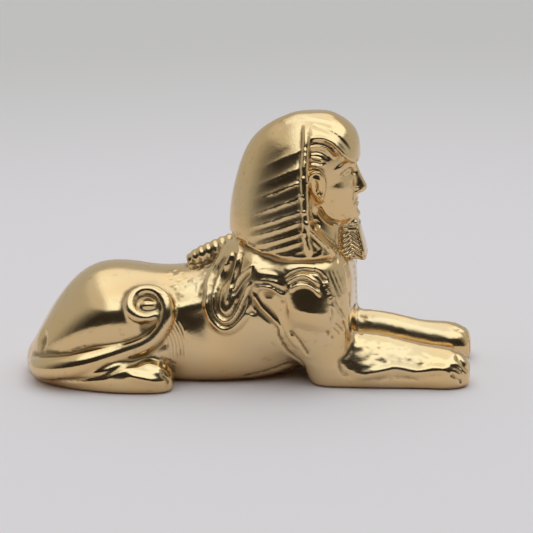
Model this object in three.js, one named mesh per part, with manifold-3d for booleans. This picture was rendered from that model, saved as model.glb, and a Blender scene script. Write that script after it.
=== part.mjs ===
// A reclining sphinx, cast in brass as one small solid: a lion's body lying flat with its forelegs
// stretched out, and a man's head in a pleated royal headcloth with a false beard.
// Units are millimetres. +Z is up, and +X is the way the sphinx looks. -Y is its right side, where the
// tail curls up on the haunch. The origin is on the table, under the middle of the figure.
import * as THREE from "three";
import { mergeVertices } from "three/addons/utils/BufferGeometryUtils.js";
import Module from "manifold-3d";

const wasm = await Module();
wasm.setup();

// Driving dimensions: the whole figure.
const LENGTH = 60; // rump to fore paws
const HEIGHT = 35.4; // table to crown
const FRONT = LENGTH / 2;
const REAR = -LENGTH / 2;

// Driving dimensions: the lion's body.
const BACK_DIP = 14.2; // height of the back where it is lowest
const RUMP_TOP = 15.2;
const LEG_SPREAD = 5.8; // middle of a fore paw from the middle of the figure
const LEG_INNER = 5.25; // the forearm's crest is nearer to the middle than its paw
const PAW_HALF = 2.9; // half the width of a fore paw
const TOE_PITCH = 1.45;
const CURL_FROM = new THREE.Vector2(-14.5, 8); // the tail's curl begins past this place, along X and Z
const CURL_OUT = 8.8; // how far out the curl stays where the haunch rounds away under it
const BUD_MIDDLE = new THREE.Vector2(-11.5, 11.35); // the leaf-shaped bud inside the curl

// Driving dimensions: the headcloth and the head.
const RIB_X = 9.3; // the side edge of the headcloth, where its pleats end
const RIB_TOP = 33.8;
const HEM = 17.6; // height of the headcloth's lower edge
const PLEATS = 8;
const PLEAT_PITCH = 2.1;
const PLEAT_DEPTH = 0.45;
const PLEAT_FALL = 0.4; // how steeply the pleats run down to the nape
const BROW = 28.4; // heights of the face, in equal thirds from hairline to chin
const CHIN = 20.6;
const THIRD = (BROW - CHIN) / 2;
const NOSE_BASE = BROW - THIRD;
const MOUTH = NOSE_BASE - THIRD / 3;
const EYE_LINE = BROW - THIRD / 4;
const FACE_X = 15.3; // front of the face, before the nose

const SLIVER = 0.03; // edges that the joins leave shorter than this are closed up

const X_AXIS = new THREE.Vector3(1, 0, 0);
const Y_AXIS = new THREE.Vector3(0, 1, 0);
const Z_AXIS = new THREE.Vector3(0, 0, 1);
const RIGHT = -1;
const LEFT = 1;
const BOTH = [RIGHT, LEFT];

const smooth = (from, to, x) => THREE.MathUtils.smoothstep(x, Math.min(from, to), Math.max(from, to));
const fade = (from, to, x) => (from < to ? smooth(from, to, x) : 1 - smooth(to, from, x));

// A closed geometry as a solid that can be joined and cut.
function solid(geometry) {
  geometry.deleteAttribute("normal");
  geometry.deleteAttribute("uv");
  const welded = mergeVertices(geometry, 1e-4);
  return new wasm.Manifold(
    new wasm.Mesh({
      numProp: 3,
      vertProperties: welded.getAttribute("position").array,
      triVerts: new Uint32Array(welded.index.array),
    }),
  );
}

// A solid as a geometry again.
function geometryOf(body) {
  const { vertProperties, triVerts } = body.getMesh();
  const geometry = new THREE.BufferGeometry();
  geometry.setAttribute("position", new THREE.BufferAttribute(vertProperties, 3));
  geometry.setIndex(new THREE.BufferAttribute(triVerts, 1));
  return geometry;
}

// A rounded lump drawn through stations, as a modeller adds clay. A station is
// [x, y, z, half width, half depth]: its middle, its half size along `across`, and its half size along
// `up`, or square to the route where `up` is left out. The first and last stations have no size, so both
// ends close in a dome. `carve` may move each point.
function lump(stations, { sides = 12, rows = 2, across = Y_AXIS, up = null, carve = null } = {}) {
  const smoothRow = (points) => new THREE.CatmullRomCurve3(points, false, "catmullrom", 0.5);
  const route = smoothRow(stations.map(([x, y, z]) => new THREE.Vector3(x, y, z)));
  const girth = smoothRow(stations.map(([, , , a, b]) => new THREE.Vector3(a * a, b * b, 0)));
  const spans = stations.length - 1;
  const ball = new THREE.SphereGeometry(1, sides, spans * rows);
  const place = ball.getAttribute("position");
  const heading = route.getPoint(1).sub(route.getPoint(0));
  const turn = up && across.clone().cross(up).dot(heading) > 0 ? -1 : 1;
  for (let row = 0, n = 0; row <= spans * rows; row += 1) {
    const t = domed(row / rows, spans) / spans;
    const middle = route.getPoint(t);
    const size = girth.getPoint(t);
    const width = Math.sqrt(Math.max(size.x, 0));
    const depth = Math.sqrt(Math.max(size.y, 0));
    const sideways = across.clone();
    const upwards = up ? up.clone() : across.clone().cross(route.getTangent(t)).normalize();
    for (let side = 0; side <= sides; side += 1, n += 1) {
      const angle = turn * ((side % sides) / sides) * 2 * Math.PI;
      const point = middle
        .clone()
        .addScaledVector(sideways, width * Math.cos(angle))
        .addScaledVector(upwards, depth * Math.sin(angle));
      if (carve) carve(point, angle, t);
      place.setXYZ(n, point.x, point.y, point.z);
    }
  }
  return solid(ball);
}

// The rows crowd towards both ends, so that a dome is round there.
function domed(u, spans) {
  if (u < 1) return u * u;
  if (u > spans - 1) return spans - (spans - u) ** 2;
  return u;
}

// Stations written for the left side, on either side.
const onSide = (side, stations) => stations.map(([x, y, ...rest]) => [x, side * y, ...rest]);

const join = (solids) => solids.reduce((whole, next) => whole.add(next));

// Where a line straight in from the side meets a solid, as a distance from the middle.
function skinFinder(body) {
  const shell = new THREE.Mesh(geometryOf(body), new THREE.MeshBasicMaterial({ side: THREE.DoubleSide }));
  const far = 40;
  return (x, z, side) => {
    const ray = new THREE.Raycaster(new THREE.Vector3(x, side * far, z), new THREE.Vector3(0, -side, 0));
    const [hit] = ray.intersectObject(shell);
    return hit ? Math.abs(hit.point.y) : 0;
  };
}

// A raised strand laid on the skin along a row of [x, z] places, as thick as `radius`, with thin ends.
function strand(skin, side, places, radius, { sides = 6, rows = 1, sink = 0.3 } = {}) {
  const middles = places.map(([x, z]) => [x, side * (skin(x, z, side) - sink * radius), z]);
  const stations = middles.map((place, i) => {
    const thick = i === 0 || i === places.length - 1 ? 0 : radius;
    return [...place, thick, thick];
  });
  return lump(stations, { sides, rows });
}

// The lion's trunk, from the low rump over the back to the chest. Sections stand upright.
function trunk() {
  const sections = [
    [REAR, 0, 1.5, 0, 0],
    [-29, 0, 1.7, 3.4, 2.4],
    [-27, 0, 3.2, 5.0, 4.6],
    [-24, 0, 5.2, 6.7, 6.9],
    [-20.5, 0, 6.9, 7.8, RUMP_TOP - 7.2],
    [-16, 0, 7.1, 8.1, RUMP_TOP - 7.1],
    [-11.4, 0, 6.7, 7.3, BACK_DIP - 6.7],
    [-6, 0, 6.9, 7.3, 7.9],
    [0, 0, 8.0, 7.5, 8.5],
    [6, 0, 9.0, 7.4, 8.8],
    [11, 0, 9.6, 6.6, 8.2],
    [14, 0, 9.9, 4.2, 6.4],
    [15, 0, 10, 0, 0],
  ];
  return lump(sections, { sides: 16, up: Z_AXIS });
}

// The nape and the yoke of the shoulders, which carry the headcloth's hem.
function yoke() {
  const sections = [
    [-4.2, 0, 13.6, 0, 0],
    [-1.6, 0, 15.3, 4.8, 4.0],
    [1.2, 0, 15.4, 7.3, 3.8],
    [6, 0, 14.9, 8.6, 3.8],
    [10.5, 0, 14.5, 8.0, 3.7],
    [13.6, 0, 14, 0, 0],
  ];
  return lump(sections, { up: Z_AXIS });
}

// The ribcage's side, between the belly and the shoulder.
function flank(side) {
  const sections = onSide(side, [
    [-5, 5, 9.4, 0, 0],
    [-1, 5.7, 9.4, 2.9, 4.4],
    [7, 6.1, 9.2, 3.0, 4.8],
    [10, 6.0, 9, 0, 0],
  ]);
  return lump(sections, { sides: 10, up: Z_AXIS });
}

// The belly, which bulges low on each side and lies on the table.
function belly(side) {
  const sections = onSide(side, [
    [-13, 3, 5, 0, 0],
    [-9, 3, 4.6, 4.8, 5.2],
    [-2, 3, 4.6, 5.1, 5.2],
    [4, 3, 5.6, 4.6, 5.2],
    [9, 3, 6.5, 0, 0],
  ]);
  return lump(sections, { sides: 10, up: Z_AXIS });
}

// The haunch: a full thigh over a folded hind leg, and the hind foot flat on the table.
function haunch(side) {
  const thigh = onSide(side, [
    [-28, 3.2, 2.6, 0, 0],
    [-25.8, 3.9, 3.8, 3.2, 3.2],
    [-22, 4.9, 6.4, 4.0, 4.5],
    [-17.5, 5.8, 8.7, 4.3, 4.5],
    [-13, 5.9, 9.3, 4.0, 4.2],
    [-9.8, 5.8, 8.3, 3.1, 4.0],
    [-7.4, 5.6, 6.8, 0, 0],
  ]);
  const hock = onSide(side, [
    [-15.5, 7.2, 4.8, 0, 0],
    [-12.6, 7.6, 4.9, 1.8, 1.7],
    [-10, 7.5, 4.9, 1.8, 1.7],
    [-7.9, 6.6, 4.6, 0, 0],
  ]);
  const foot = onSide(side, [
    [-29.2, 3.0, 1.6, 0, 0],
    [-26, 5.2, 1.9, 3.2, 2.6],
    [-21.5, 7.8, 2.0, 2.9, 2.6],
    [-16, 9.3, 1.9, 2.5, 2.6],
    [-11.5, 9.4, 1.8, 2.3, 2.6],
    [-8.2, 9.4, 1.4, 0, 0],
  ]);
  return join([
    lump(thigh, { up: Z_AXIS }),
    lump(hock, { sides: 8, rows: 1, up: Z_AXIS }),
    lump(foot, { sides: 10, up: Z_AXIS }),
  ]);
}

// The foreleg, from the shoulder down to the elbow and along the table to the paw.
function foreleg(side) {
  const upperArm = onSide(side, [
    [8.8, 6, 17.3, 0, 0],
    [9.0, 6.2, 15.4, 4.3, 2.9],
    [9.3, 6.5, 12.8, 5.0, 3.3],
    [9.6, 6.6, 10.2, 4.9, 3.4],
    [10.0, 6.5, 7.6, 4.7, 3.2],
    [10.6, 6.2, 5, 4.4, 2.8],
    [11.4, 6.0, 3, 3.3, 2.7],
    [12, 6, -1, 0, 0],
  ]);
  const forearm = onSide(side, [
    [8.8, LEG_INNER, 2.4, 0, 0],
    [11, LEG_INNER, 2.6, 2.4, 3.6],
    [15, LEG_INNER, 3.2, 2.4, 3.9],
    [19.5, LEG_INNER, 2.8, 2.4, 3.7],
    [23.6, LEG_INNER, 2.2, 2.3, 3.0],
    [26.4, LEG_SPREAD, 2.0, PAW_HALF, 3.1],
    [28.2, LEG_SPREAD, 1.9, PAW_HALF, 2.8],
    [29.4, LEG_SPREAD, 1.8, PAW_HALF - 0.6, 2.0],
    [FRONT, LEG_SPREAD, 1.7, 0, 0],
  ]);
  const outerEdge = onSide(side, [
    [11.5, 6.0, 2.0, 0, 0],
    [14.5, 6.3, 2.0, 2.4, 2.6],
    [19.5, 6.4, 1.9, 2.4, 2.5],
    [25, 6.3, 1.5, 2.3, 2.2],
    [28.4, 6.2, 1.4, 0, 0],
  ]);
  const muscle = onSide(side, [
    [6.4, 8.9, 12.6, 0, 0],
    [8.2, 9.0, 12.6, 1.2, 1.8],
    [10.8, 9.0, 12.2, 1.3, 2.1],
    [13.2, 8.2, 11.0, 0, 0],
  ]);
  const lobe = onSide(side, [
    [2.0, 7.6, 13.3, 0, 0],
    [3.4, 8.0, 12.9, 1.3, 1.1],
    [4.9, 8.3, 11.9, 1.4, 1.6],
    [6.0, 8.3, 9.4, 1.3, 1.2],
    [6.6, 8.0, 6.6, 0, 0],
  ]);
  return join([
    lump(upperArm, { sides: 12, across: X_AXIS, up: Y_AXIS }),
    lump(forearm, { sides: 10, up: Z_AXIS }),
    lump(outerEdge, { sides: 8, rows: 1, up: Z_AXIS }),
    lump(muscle, { sides: 10, up: Z_AXIS }),
    lump(lobe, { sides: 8 }),
  ]);
}

// The man's breast between the shoulders, which goes down to the table between the forelegs.
function breast() {
  const sections = [
    [10, 0, 20, 0, 0],
    [11.3, 0, 17.5, 5.2, 2.9],
    [11.7, 0, 14.5, 6.6, 3.4],
    [11.8, 0, 11, 6.4, 3.5],
    [11.7, 0, 7, 4.4, 3.4],
    [11, 0, 3, 3.8, 2.6],
    [11, 0, -1, 0, 0],
  ];
  return lump(sections, { up: X_AXIS });
}

// The neck and the egg of the head, with calm, evenly divided features.
function head() {
  const skull = [
    [9.9, 0, HEIGHT - 0.8, 0, 0],
    [9.8, 0, BROW + 4.2, 3.1, 4.6],
    [9.8, 0, BROW + 1.6, 4.6, 5.3],
    [9.8, 0, EYE_LINE, 5.0, FACE_X - 10.1],
    [9.9, 0, NOSE_BASE, 4.7, FACE_X - 9.9],
    [10.4, 0, MOUTH - 0.3, 4.1, FACE_X - 10.4],
    [11.1, 0, CHIN + 0.8, 3.0, FACE_X - 11.1],
    [11.7, 0, CHIN - 0.4, 0, 0],
  ];
  const neck = [
    [8.4, 0, 26, 0, 0],
    [8.8, 0, 23, 3.9, 3.8],
    [9.6, 0, 20.4, 4.2, 3.9],
    [10, 0, 18.4, 4.8, 4.2],
    [10, 0, 14, 0, 0],
  ];
  return join([
    lump(skull, { sides: 14, up: X_AXIS }),
    lump(neck, { up: X_AXIS }),
    nose(),
    lips(),
    ...BOTH.flatMap((side) => [eye(side), ear(side)]),
  ]);
}

function nose() {
  const tip = FACE_X + 1.6;
  const bridge = [
    [FACE_X - 0.6, 0, BROW + 0.2, 0, 0],
    [FACE_X - 0.3, 0, EYE_LINE, 0.5, 0.6],
    [FACE_X + 0.2, 0, EYE_LINE - 1.4, 0.6, 0.8],
    [tip - 1.1, 0, NOSE_BASE + 0.7, 0.85, 0.9],
    [tip - 1.3, 0, NOSE_BASE - 0.2, 0, 0],
  ];
  return lump(bridge, { sides: 8, up: X_AXIS });
}

function lips() {
  const lip = (z, bulge, thick) =>
    lump(
      [
        [FACE_X - 1.0, -1.5, z, 0, 0],
        [FACE_X - 0.35, -0.8, z, thick, 0.5],
        [FACE_X - 0.3 + bulge, 0, z, thick, 0.5],
        [FACE_X - 0.35, 0.8, z, thick, 0.5],
        [FACE_X - 1.0, 1.5, z, 0, 0],
      ],
      { sides: 6, rows: 1, across: Z_AXIS, up: X_AXIS },
    );
  return join([lip(MOUTH + 0.28, 0.15, 0.3), lip(MOUTH - 0.28, 0.1, 0.34)]);
}

// One eye with the brow above it.
function eye(side) {
  const ball = onSide(side, [
    [FACE_X - 1.0, 0.8, EYE_LINE, 0, 0],
    [FACE_X - 0.7, 1.6, EYE_LINE, 0.42, 0.4],
    [FACE_X - 1.3, 2.6, EYE_LINE, 0.4, 0.4],
    [FACE_X - 2.2, 3.5, EYE_LINE - 0.1, 0, 0],
  ]);
  const brow = onSide(side, [
    [FACE_X - 0.3, 0.5, BROW, 0, 0],
    [FACE_X - 0.5, 1.5, BROW + 0.35, 0.3, 0.45],
    [FACE_X - 1.3, 2.9, BROW + 0.3, 0.3, 0.45],
    [FACE_X - 2.8, 4.2, BROW - 0.4, 0, 0],
  ]);
  const detail = { sides: 6, across: Z_AXIS, up: X_AXIS };
  return join([lump(ball, detail), lump(brow, detail)]);
}

function ear(side) {
  const shell = onSide(side, [
    [10.8, 4.6, NOSE_BASE - 0.4, 0, 0],
    [10.7, 4.9, NOSE_BASE + 0.4, 0.6, 0.8],
    [10.5, 5.1, NOSE_BASE + 2.2, 1.05, 1.1],
    [10.4, 5.2, BROW - 0.5, 1.0, 1.0],
    [10.4, 5.0, BROW + 0.3, 0, 0],
  ]);
  const bowl = onSide(side, [
    [10.8, 6.3, NOSE_BASE + 0.9, 0, 0],
    [10.7, 6.4, NOSE_BASE + 2.1, 0.5, 0.5],
    [10.5, 6.4, BROW - 0.5, 0, 0],
  ]);
  const upright = { sides: 8, across: X_AXIS, up: Y_AXIS };
  return lump(shell, upright).subtract(lump(bowl, upright));
}

// The headcloth: a bell over the head, open at the face. Its pleats run from the side edge down to the
// nape, so each ring of the bell tilts down behind that edge.
function headcloth() {
  const highest = RIB_TOP - 0.6;
  const pleated = (point) => {
    const phase = (highest - point.z) / PLEAT_PITCH;
    const beside = fade(0, 7, point.x) * fade(highest + 0.1, highest - 5, point.z);
    const out = PLEAT_DEPTH * (0.6 * Math.cos(2 * Math.PI * phase) - 0.4) * beside;
    const reach = Math.max(Math.hypot(point.x - 8, point.y), 1);
    const behind = Math.max(RIB_X - point.x, 0);
    point.z -= PLEAT_FALL * fade(RIB_TOP + 0.5, RIB_TOP - 7, point.z) * behind;
    point.x += (out * (point.x - 8)) / reach;
    point.y += (out * point.y) / reach;
  };
  const rings = [
    [9.7, 0, HEIGHT, 0, 0],
    [9.3, 0, HEIGHT - 0.6, 2.2, 3.5],
    [8.8, 0, RIB_TOP, 3.6, 5.7],
  ];
  const section = bellSection();
  for (let pleat = 0; pleat < PLEATS; pleat += 1) {
    const crest = highest - pleat * PLEAT_PITCH;
    rings.push(section(crest), section(crest - 0.5 * PLEAT_PITCH));
  }
  const foot = highest - PLEATS * PLEAT_PITCH;
  rings.push(section(foot), [8, 0, foot - 2, 0, 0]);
  const bell = lump(rings, { sides: 20, rows: 1, up: X_AXIS, carve: pleated });
  return bell.subtract(faceOpening()).intersect(above(HEM));
}

// The bell's ring that meets the side edge at a height: its middle and its half sizes across and fore
// and aft.
function bellSection() {
  const sizes = [
    [RIB_TOP, 8.8, 3.6, 5.7],
    [31.7, 8.1, 5.0, 7.5],
    [29.6, 7.75, 6.1, 8.3],
    [27.5, 7.4, 6.9, 8.7],
    [23.3, 7.1, 7.7, 8.9],
    [19.1, 7.4, 8.4, 8.7],
    [14, 7.6, 8.6, 8.5],
  ];
  return (height) => {
    const next = Math.max(sizes.findIndex(([level]) => level < height), 1);
    const [upper, lower] = [sizes[next - 1], sizes[next]];
    const t = (upper[0] - height) / (upper[0] - lower[0]);
    const [middle, across, along] = [1, 2, 3].map((k) => THREE.MathUtils.lerp(upper[k], lower[k], t));
    return [middle, 0, height, across, along];
  };
}

// What is cut out of the bell for the face: all that lies before the side edges and below the band on
// the forehead, whose lower edge curves down to the brow. Below the ear the cut slants forward, and
// leaves the two lappets that fall on the breast.
function faceOpening() {
  const past = 20;
  const below = HEM - 5;
  const outline = new THREE.Shape();
  outline.moveTo(12.9, below);
  outline.lineTo(12.9, 17.9);
  outline.quadraticCurveTo(10.4, 20.2, RIB_X, 23.2);
  outline.lineTo(RIB_X, 31.2);
  outline.quadraticCurveTo(RIB_X, 32.1, RIB_X + 1, 32.1);
  outline.lineTo(12.4, 31.7);
  outline.quadraticCurveTo(13.8, 30.8, 15.0, 28.9);
  outline.lineTo(past, 28.5);
  outline.lineTo(past, below);
  const width = 24;
  const prism = new THREE.ExtrudeGeometry(outline, { depth: width, bevelEnabled: false, curveSegments: 4 });
  prism.rotateX(Math.PI / 2);
  prism.translate(0, width / 2, 0);
  return solid(prism);
}

// Everything above a level.
function above(level) {
  const size = 100;
  const block = new THREE.BoxGeometry(size, size, size);
  block.translate(0, 0, level + size / 2);
  return solid(block);
}

// The false beard: a plaited block that widens downwards and juts forward.
function beard() {
  const rungs = 7;
  const notch = 0.14;
  const chevron = 0.5; // how far a rung rises towards the sides
  const plaited = (point, angle, t) => {
    point.z += chevron * Math.abs(point.y) * fade(0.1, 0.3, t) * fade(0.97, 0.8, t);
  };
  const sections = [[13.8, 0, CHIN + 0.6, 0, 0]];
  for (let rung = 0; rung <= rungs; rung += 1) {
    const t = rung / rungs;
    const cut = rung % 2 ? notch : 0;
    sections.push([14.0 + 1.0 * t, 0, CHIN + 0.2 - 4.6 * t, 1.2 + 0.7 * t - cut, 1.25 + 0.15 * t - cut]);
  }
  sections.push([15.1, 0, CHIN - 5.0, 0, 0]);
  return lump(sections, { sides: 12, rows: 1, up: X_AXIS, carve: plaited });
}

// The ringed queue of the headcloth, which lies on the back below the nape.
function queue() {
  const rings = 7;
  const start = new THREE.Vector3(-1.6, 0, 17.8);
  const end = new THREE.Vector3(-7.3, 0, 15.0);
  const place = (t) => start.clone().lerp(end, t).toArray();
  const stations = [[...place(-0.1), 0, 0]];
  for (let ring = 0; ring < rings; ring += 1) {
    stations.push([...place((ring + 0.15) / rings), 1.25, 1.0]);
    stations.push([...place((ring + 0.65) / rings), 1.5, 1.25]);
  }
  stations.push([...place(1.06), 0, 0]);
  return lump(stations, { sides: 8, rows: 1 });
}

// The tail: from the rump's end along the haunch, up past the knee, and into a curl, which the flesh
// behind it carries. A place is [x, z, thickness].
function tail(skin) {
  const side = RIGHT;
  const places = [
    [-27.2, 2.3, 1.35],
    [-25.4, 2.7, 1.4],
    [-21.8, 3.4, 1.45],
    [-17.8, 4.5, 1.4],
    [-14.2, 5.6, 1.32],
    [-11.0, 7.1, 1.2],
    [-9.7, 8.4, 1.1],
    [-9.05, 9.9, 1.0],
    [-9.0, 11.3, 0.95],
    [-9.5, 12.6, 0.9],
    [-10.5, 13.5, 0.8],
    [-11.8, 13.8, 0.75],
    [-13.0, 13.3, 0.78],
    [-13.6, 12.1, 0.85],
    [-13.4, 10.9, 0.8],
    [-12.5, 10.1, 0.75],
    [-11.3, 9.95, 0.65],
  ];
  const stations = places.map(([x, z, thick]) => {
    const least = x > CURL_FROM.x && z > CURL_FROM.y ? CURL_OUT : 0;
    return [x, side * Math.max(skin(x, z, side), least), z, thick, thick];
  });
  const root = [REAR + 1.4, side * 3.4, 2.3, 0, 0];
  const tip = [-10.4, side * CURL_OUT, 10.4, 0, 0];
  const backing = [
    [-16.5, side * 5, 10, 0, 0],
    [-13.4, side * 6, 10.2, 2.7, 3.6],
    [-10, side * 6, 9.8, 2.7, 3.6],
    [-7.4, side * 5, 8.6, 0, 0],
  ];
  return join([
    lump([root, ...stations, tip], { sides: 8, rows: 1 }),
    bud(side),
    lump(backing, { sides: 10, up: Z_AXIS }),
  ]);
}

// The small leaf-shaped bud in the middle of the tail's curl.
function bud(side) {
  const { x, y: z } = BUD_MIDDLE;
  const y = side * (CURL_OUT + 0.2);
  const leaf = [
    [x - 1.2, y, z - 0.2, 0, 0],
    [x - 0.4, y, z, 0.85, 0.62],
    [x + 0.4, y, z, 0.85, 0.62],
    [x + 1.2, y, z, 0, 0],
  ];
  return lump(leaf, { sides: 8, rows: 1, up: Z_AXIS });
}

// The lock that hangs from the nape down the flank: a long loop with strands inside it.
function lock(skin, side) {
  const loop = [
    [-0.8, 16.6],
    [-2.2, 14.6],
    [-3.7, 12.0],
    [-4.2, 10.0],
    [-3.4, 8.1],
    [-1.6, 7.3],
    [0.1, 8.1],
    [1.3, 10.2],
    [2.0, 12.4],
    [2.6, 13.8],
  ];
  const inner = [
    [-0.4, 16.4],
    [-1.7, 13.9],
    [-2.6, 11.9],
    [-2.7, 10.4],
    [-1.8, 9.3],
    [-0.6, 9.5],
    [0.4, 11.4],
    [0.9, 14.4],
  ];
  const middle = [
    [0.2, 16.2],
    [-0.5, 13.8],
    [-1.1, 11.8],
    [-1.3, 10.6],
  ];
  return join([
    strand(skin, side, loop, 0.8, { sides: 5, sink: 0.4 }),
    strand(skin, side, inner, 0.5, { sides: 5, sink: 0.2 }),
    strand(skin, side, middle, 0.45, { sides: 5, sink: 0.2 }),
  ]);
}

// The arched folds over the shoulder muscle.
function shoulderFold(skin, side) {
  const arch = [
    [5.4, 13.6],
    [6.5, 15.0],
    [8.6, 15.8],
    [10.6, 15.5],
    [11.9, 14.2],
    [12.8, 12.2],
  ];
  return strand(skin, side, arch, 0.7, { rows: 2 });
}

// The grooves between the four toes of a fore paw.
function toeGrooves(side) {
  const grooves = [-TOE_PITCH, 0, TOE_PITCH].map((offset) => {
    const y = LEG_SPREAD + offset;
    const route = onSide(side, [
      [27.0, y, 5.4, 0, 0],
      [28.6, y, 4.5, 0.25, 0.6],
      [29.8, y, 2.8, 0.3, 0.6],
      [FRONT, y, 0.8, 0, 0],
    ]);
    return lump(route, { sides: 6, rows: 1 });
  });
  return join(grooves);
}

// The rib along the headcloth's side edge.
function rib(skin, side) {
  const heights = [RIB_TOP, 32, 28, 24, 20.5, 18.0];
  return strand(
    skin,
    side,
    heights.map((z) => [RIB_X - 0.45, z]),
    0.5,
    { sides: 8, sink: 0.1 },
  );
}

function buildSphinx() {
  const body = join([
    trunk(),
    yoke(),
    breast(),
    ...BOTH.flatMap((side) => [belly(side), flank(side), haunch(side), foreleg(side)]),
  ]);
  const cloth = headcloth();
  const bodySkin = skinFinder(body);
  const clothSkin = skinFinder(cloth);
  const figure = join([
    body,
    cloth,
    head(),
    beard(),
    queue(),
    tail(bodySkin),
    ...BOTH.flatMap((side) => [
      lock(bodySkin, side),
      shoulderFold(bodySkin, side),
      rib(clothSkin, side),
    ]),
  ]);
  const toed = BOTH.reduce((whole, side) => whole.subtract(toeGrooves(side)), figure);
  return toed.intersect(above(0)).simplify(SLIVER);
}

const brass = new THREE.MeshStandardMaterial({ color: 0xc9a35c, roughness: 0.24, metalness: 1 });
brass.name = "polished_brass";

const sphinx = new THREE.Mesh(geometryOf(buildSphinx()), brass);
sphinx.name = "sphinx";
sphinx.geometry.computeVertexNormals();

const group = new THREE.Group();
group.add(sphinx);

export default group;
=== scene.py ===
# %% [markdown]
# # A small brass sphinx
# The object is one solid brass casting, 60 mm long: a lion's body lying flat, and a man's head in a
# pleated headcloth with a plaited false beard. The pattern was printed, cast in brass and polished by
# hand, so the forms run softly into each other, while the carving on top of them is crisp.
# It could be one big subdivision cage, but forms this different are easier to get right as separate
# lumps of clay, pressed together and then carved. This script works in that order, and ends with the
# metal.

# %% Frame and sizes
import math
import bpy
import numpy as np
import openvdb
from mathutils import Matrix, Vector


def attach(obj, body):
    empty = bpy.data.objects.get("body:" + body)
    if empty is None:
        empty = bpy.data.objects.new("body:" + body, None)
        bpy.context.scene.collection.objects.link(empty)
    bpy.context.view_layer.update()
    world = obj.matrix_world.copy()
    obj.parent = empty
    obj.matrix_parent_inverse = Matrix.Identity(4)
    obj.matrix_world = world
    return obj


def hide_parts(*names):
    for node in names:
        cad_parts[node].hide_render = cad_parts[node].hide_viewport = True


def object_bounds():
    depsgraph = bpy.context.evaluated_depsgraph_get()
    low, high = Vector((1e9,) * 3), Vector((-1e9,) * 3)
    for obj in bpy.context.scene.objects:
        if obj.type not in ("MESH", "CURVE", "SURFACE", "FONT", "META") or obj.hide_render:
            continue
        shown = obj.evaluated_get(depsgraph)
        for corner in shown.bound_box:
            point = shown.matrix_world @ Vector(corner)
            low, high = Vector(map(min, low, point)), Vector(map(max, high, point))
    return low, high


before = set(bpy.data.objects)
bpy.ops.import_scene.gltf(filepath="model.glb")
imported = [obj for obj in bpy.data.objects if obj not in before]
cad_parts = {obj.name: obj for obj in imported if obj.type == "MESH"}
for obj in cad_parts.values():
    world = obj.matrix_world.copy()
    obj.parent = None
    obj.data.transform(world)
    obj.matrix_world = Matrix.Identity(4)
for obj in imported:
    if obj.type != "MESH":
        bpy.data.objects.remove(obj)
cad_low, cad_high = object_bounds()

LENGTH = 60.0  # rump to fore paws, in millimetres, the unit of every size below
HEIGHT = 35.4
MM = (cad_high.x - cad_low.x) / LENGTH  # one millimetre of the figure, in metres
RIGHT, LEFT = -1, 1
BOTH = (RIGHT, LEFT)

print("one millimetre is", round(MM, 6), "m; CAD box", [round(s / MM, 1) for s in cad_high - cad_low])

# %% [markdown]
# ## The camera, the floor and the light
# The figure is seen from its right, a little from the front and a hand above the table, with a long
# lens. Polished metal shows only what stands around it. A product photographer gives it a broad soft
# light overhead, a pale floor, a grey wall behind, and darkness on the camera's side that draws the
# forms with dark bands. Lamps could do this too, but it is simplest as a world shader that says how
# bright each direction is. The camera itself sees plain grey there.

# %% Camera
AZIMUTH, ELEVATION, ROLL = 7.0, 15.0, -1.8  # degrees
DISTANCE = 250.0
FOCAL_PX = 1880.0
IMAGE_PX = 533.0
SENSOR = 36.0
AIM = (3.04, 0.0, 14.3)

round_side, above = math.radians(AZIMUTH), math.radians(ELEVATION)
towards_camera = Vector((
    math.sin(round_side) * math.cos(above),
    -math.cos(round_side) * math.cos(above),
    math.sin(above),
))
lens = bpy.data.cameras.new("camera")
lens.sensor_width = SENSOR
lens.lens = FOCAL_PX / IMAGE_PX * SENSOR
lens.clip_start = 0.01
camera = bpy.data.objects.new("camera", lens)
camera.location = (Vector(AIM) + DISTANCE * towards_camera) * MM
camera.rotation_euler = (math.pi / 2 - above, 0.0, round_side)
camera.rotation_euler.rotate_axis("Z", math.radians(ROLL))
bpy.context.scene.collection.objects.link(camera)
bpy.context.scene.camera = camera
bpy.context.scene.view_settings.view_transform = "Standard"
print("lens", round(lens.lens, 1), "mm")

# %% Shader helpers
def wire(node, inputs):
    """Sets inputs of a node, each to a plain value or to the socket that feeds it."""
    for name, value in inputs.items():
        if isinstance(value, bpy.types.NodeSocket):
            links.new(value, node.inputs[name])
        else:
            node.inputs[name].default_value = value


def fitted(socket, low, high, to_low=0.0, to_high=1.0, soft=False):
    """A value fitted from one range to another, evenly or in a soft step."""
    fit = nodes.new("ShaderNodeMapRange")
    fit.interpolation_type = "SMOOTHSTEP" if soft else "LINEAR"
    wire(fit, {"Value": socket, "From Min": low, "From Max": high, "To Min": to_low, "To Max": to_high})
    return fit.outputs["Result"]


def blend(factor, first, second):
    """A mix of two colours, each a socket or a plain colour."""
    mix = nodes.new("ShaderNodeMix")
    mix.data_type = "RGBA"
    wire(mix, {"Factor": factor, "A": first, "B": second})
    return mix.outputs["Result"]

# %% Floor
FLOOR_SIZE = 3000.0
FLOOR_NEAR = (0.905, 0.82, 0.805, 1.0)
FLOOR_FAR = (0.72, 0.665, 0.625, 1.0)
FADE_FROM, FADE_TO = 60.0, 330.0  # where the pale table turns into the grey of the wall

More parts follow.
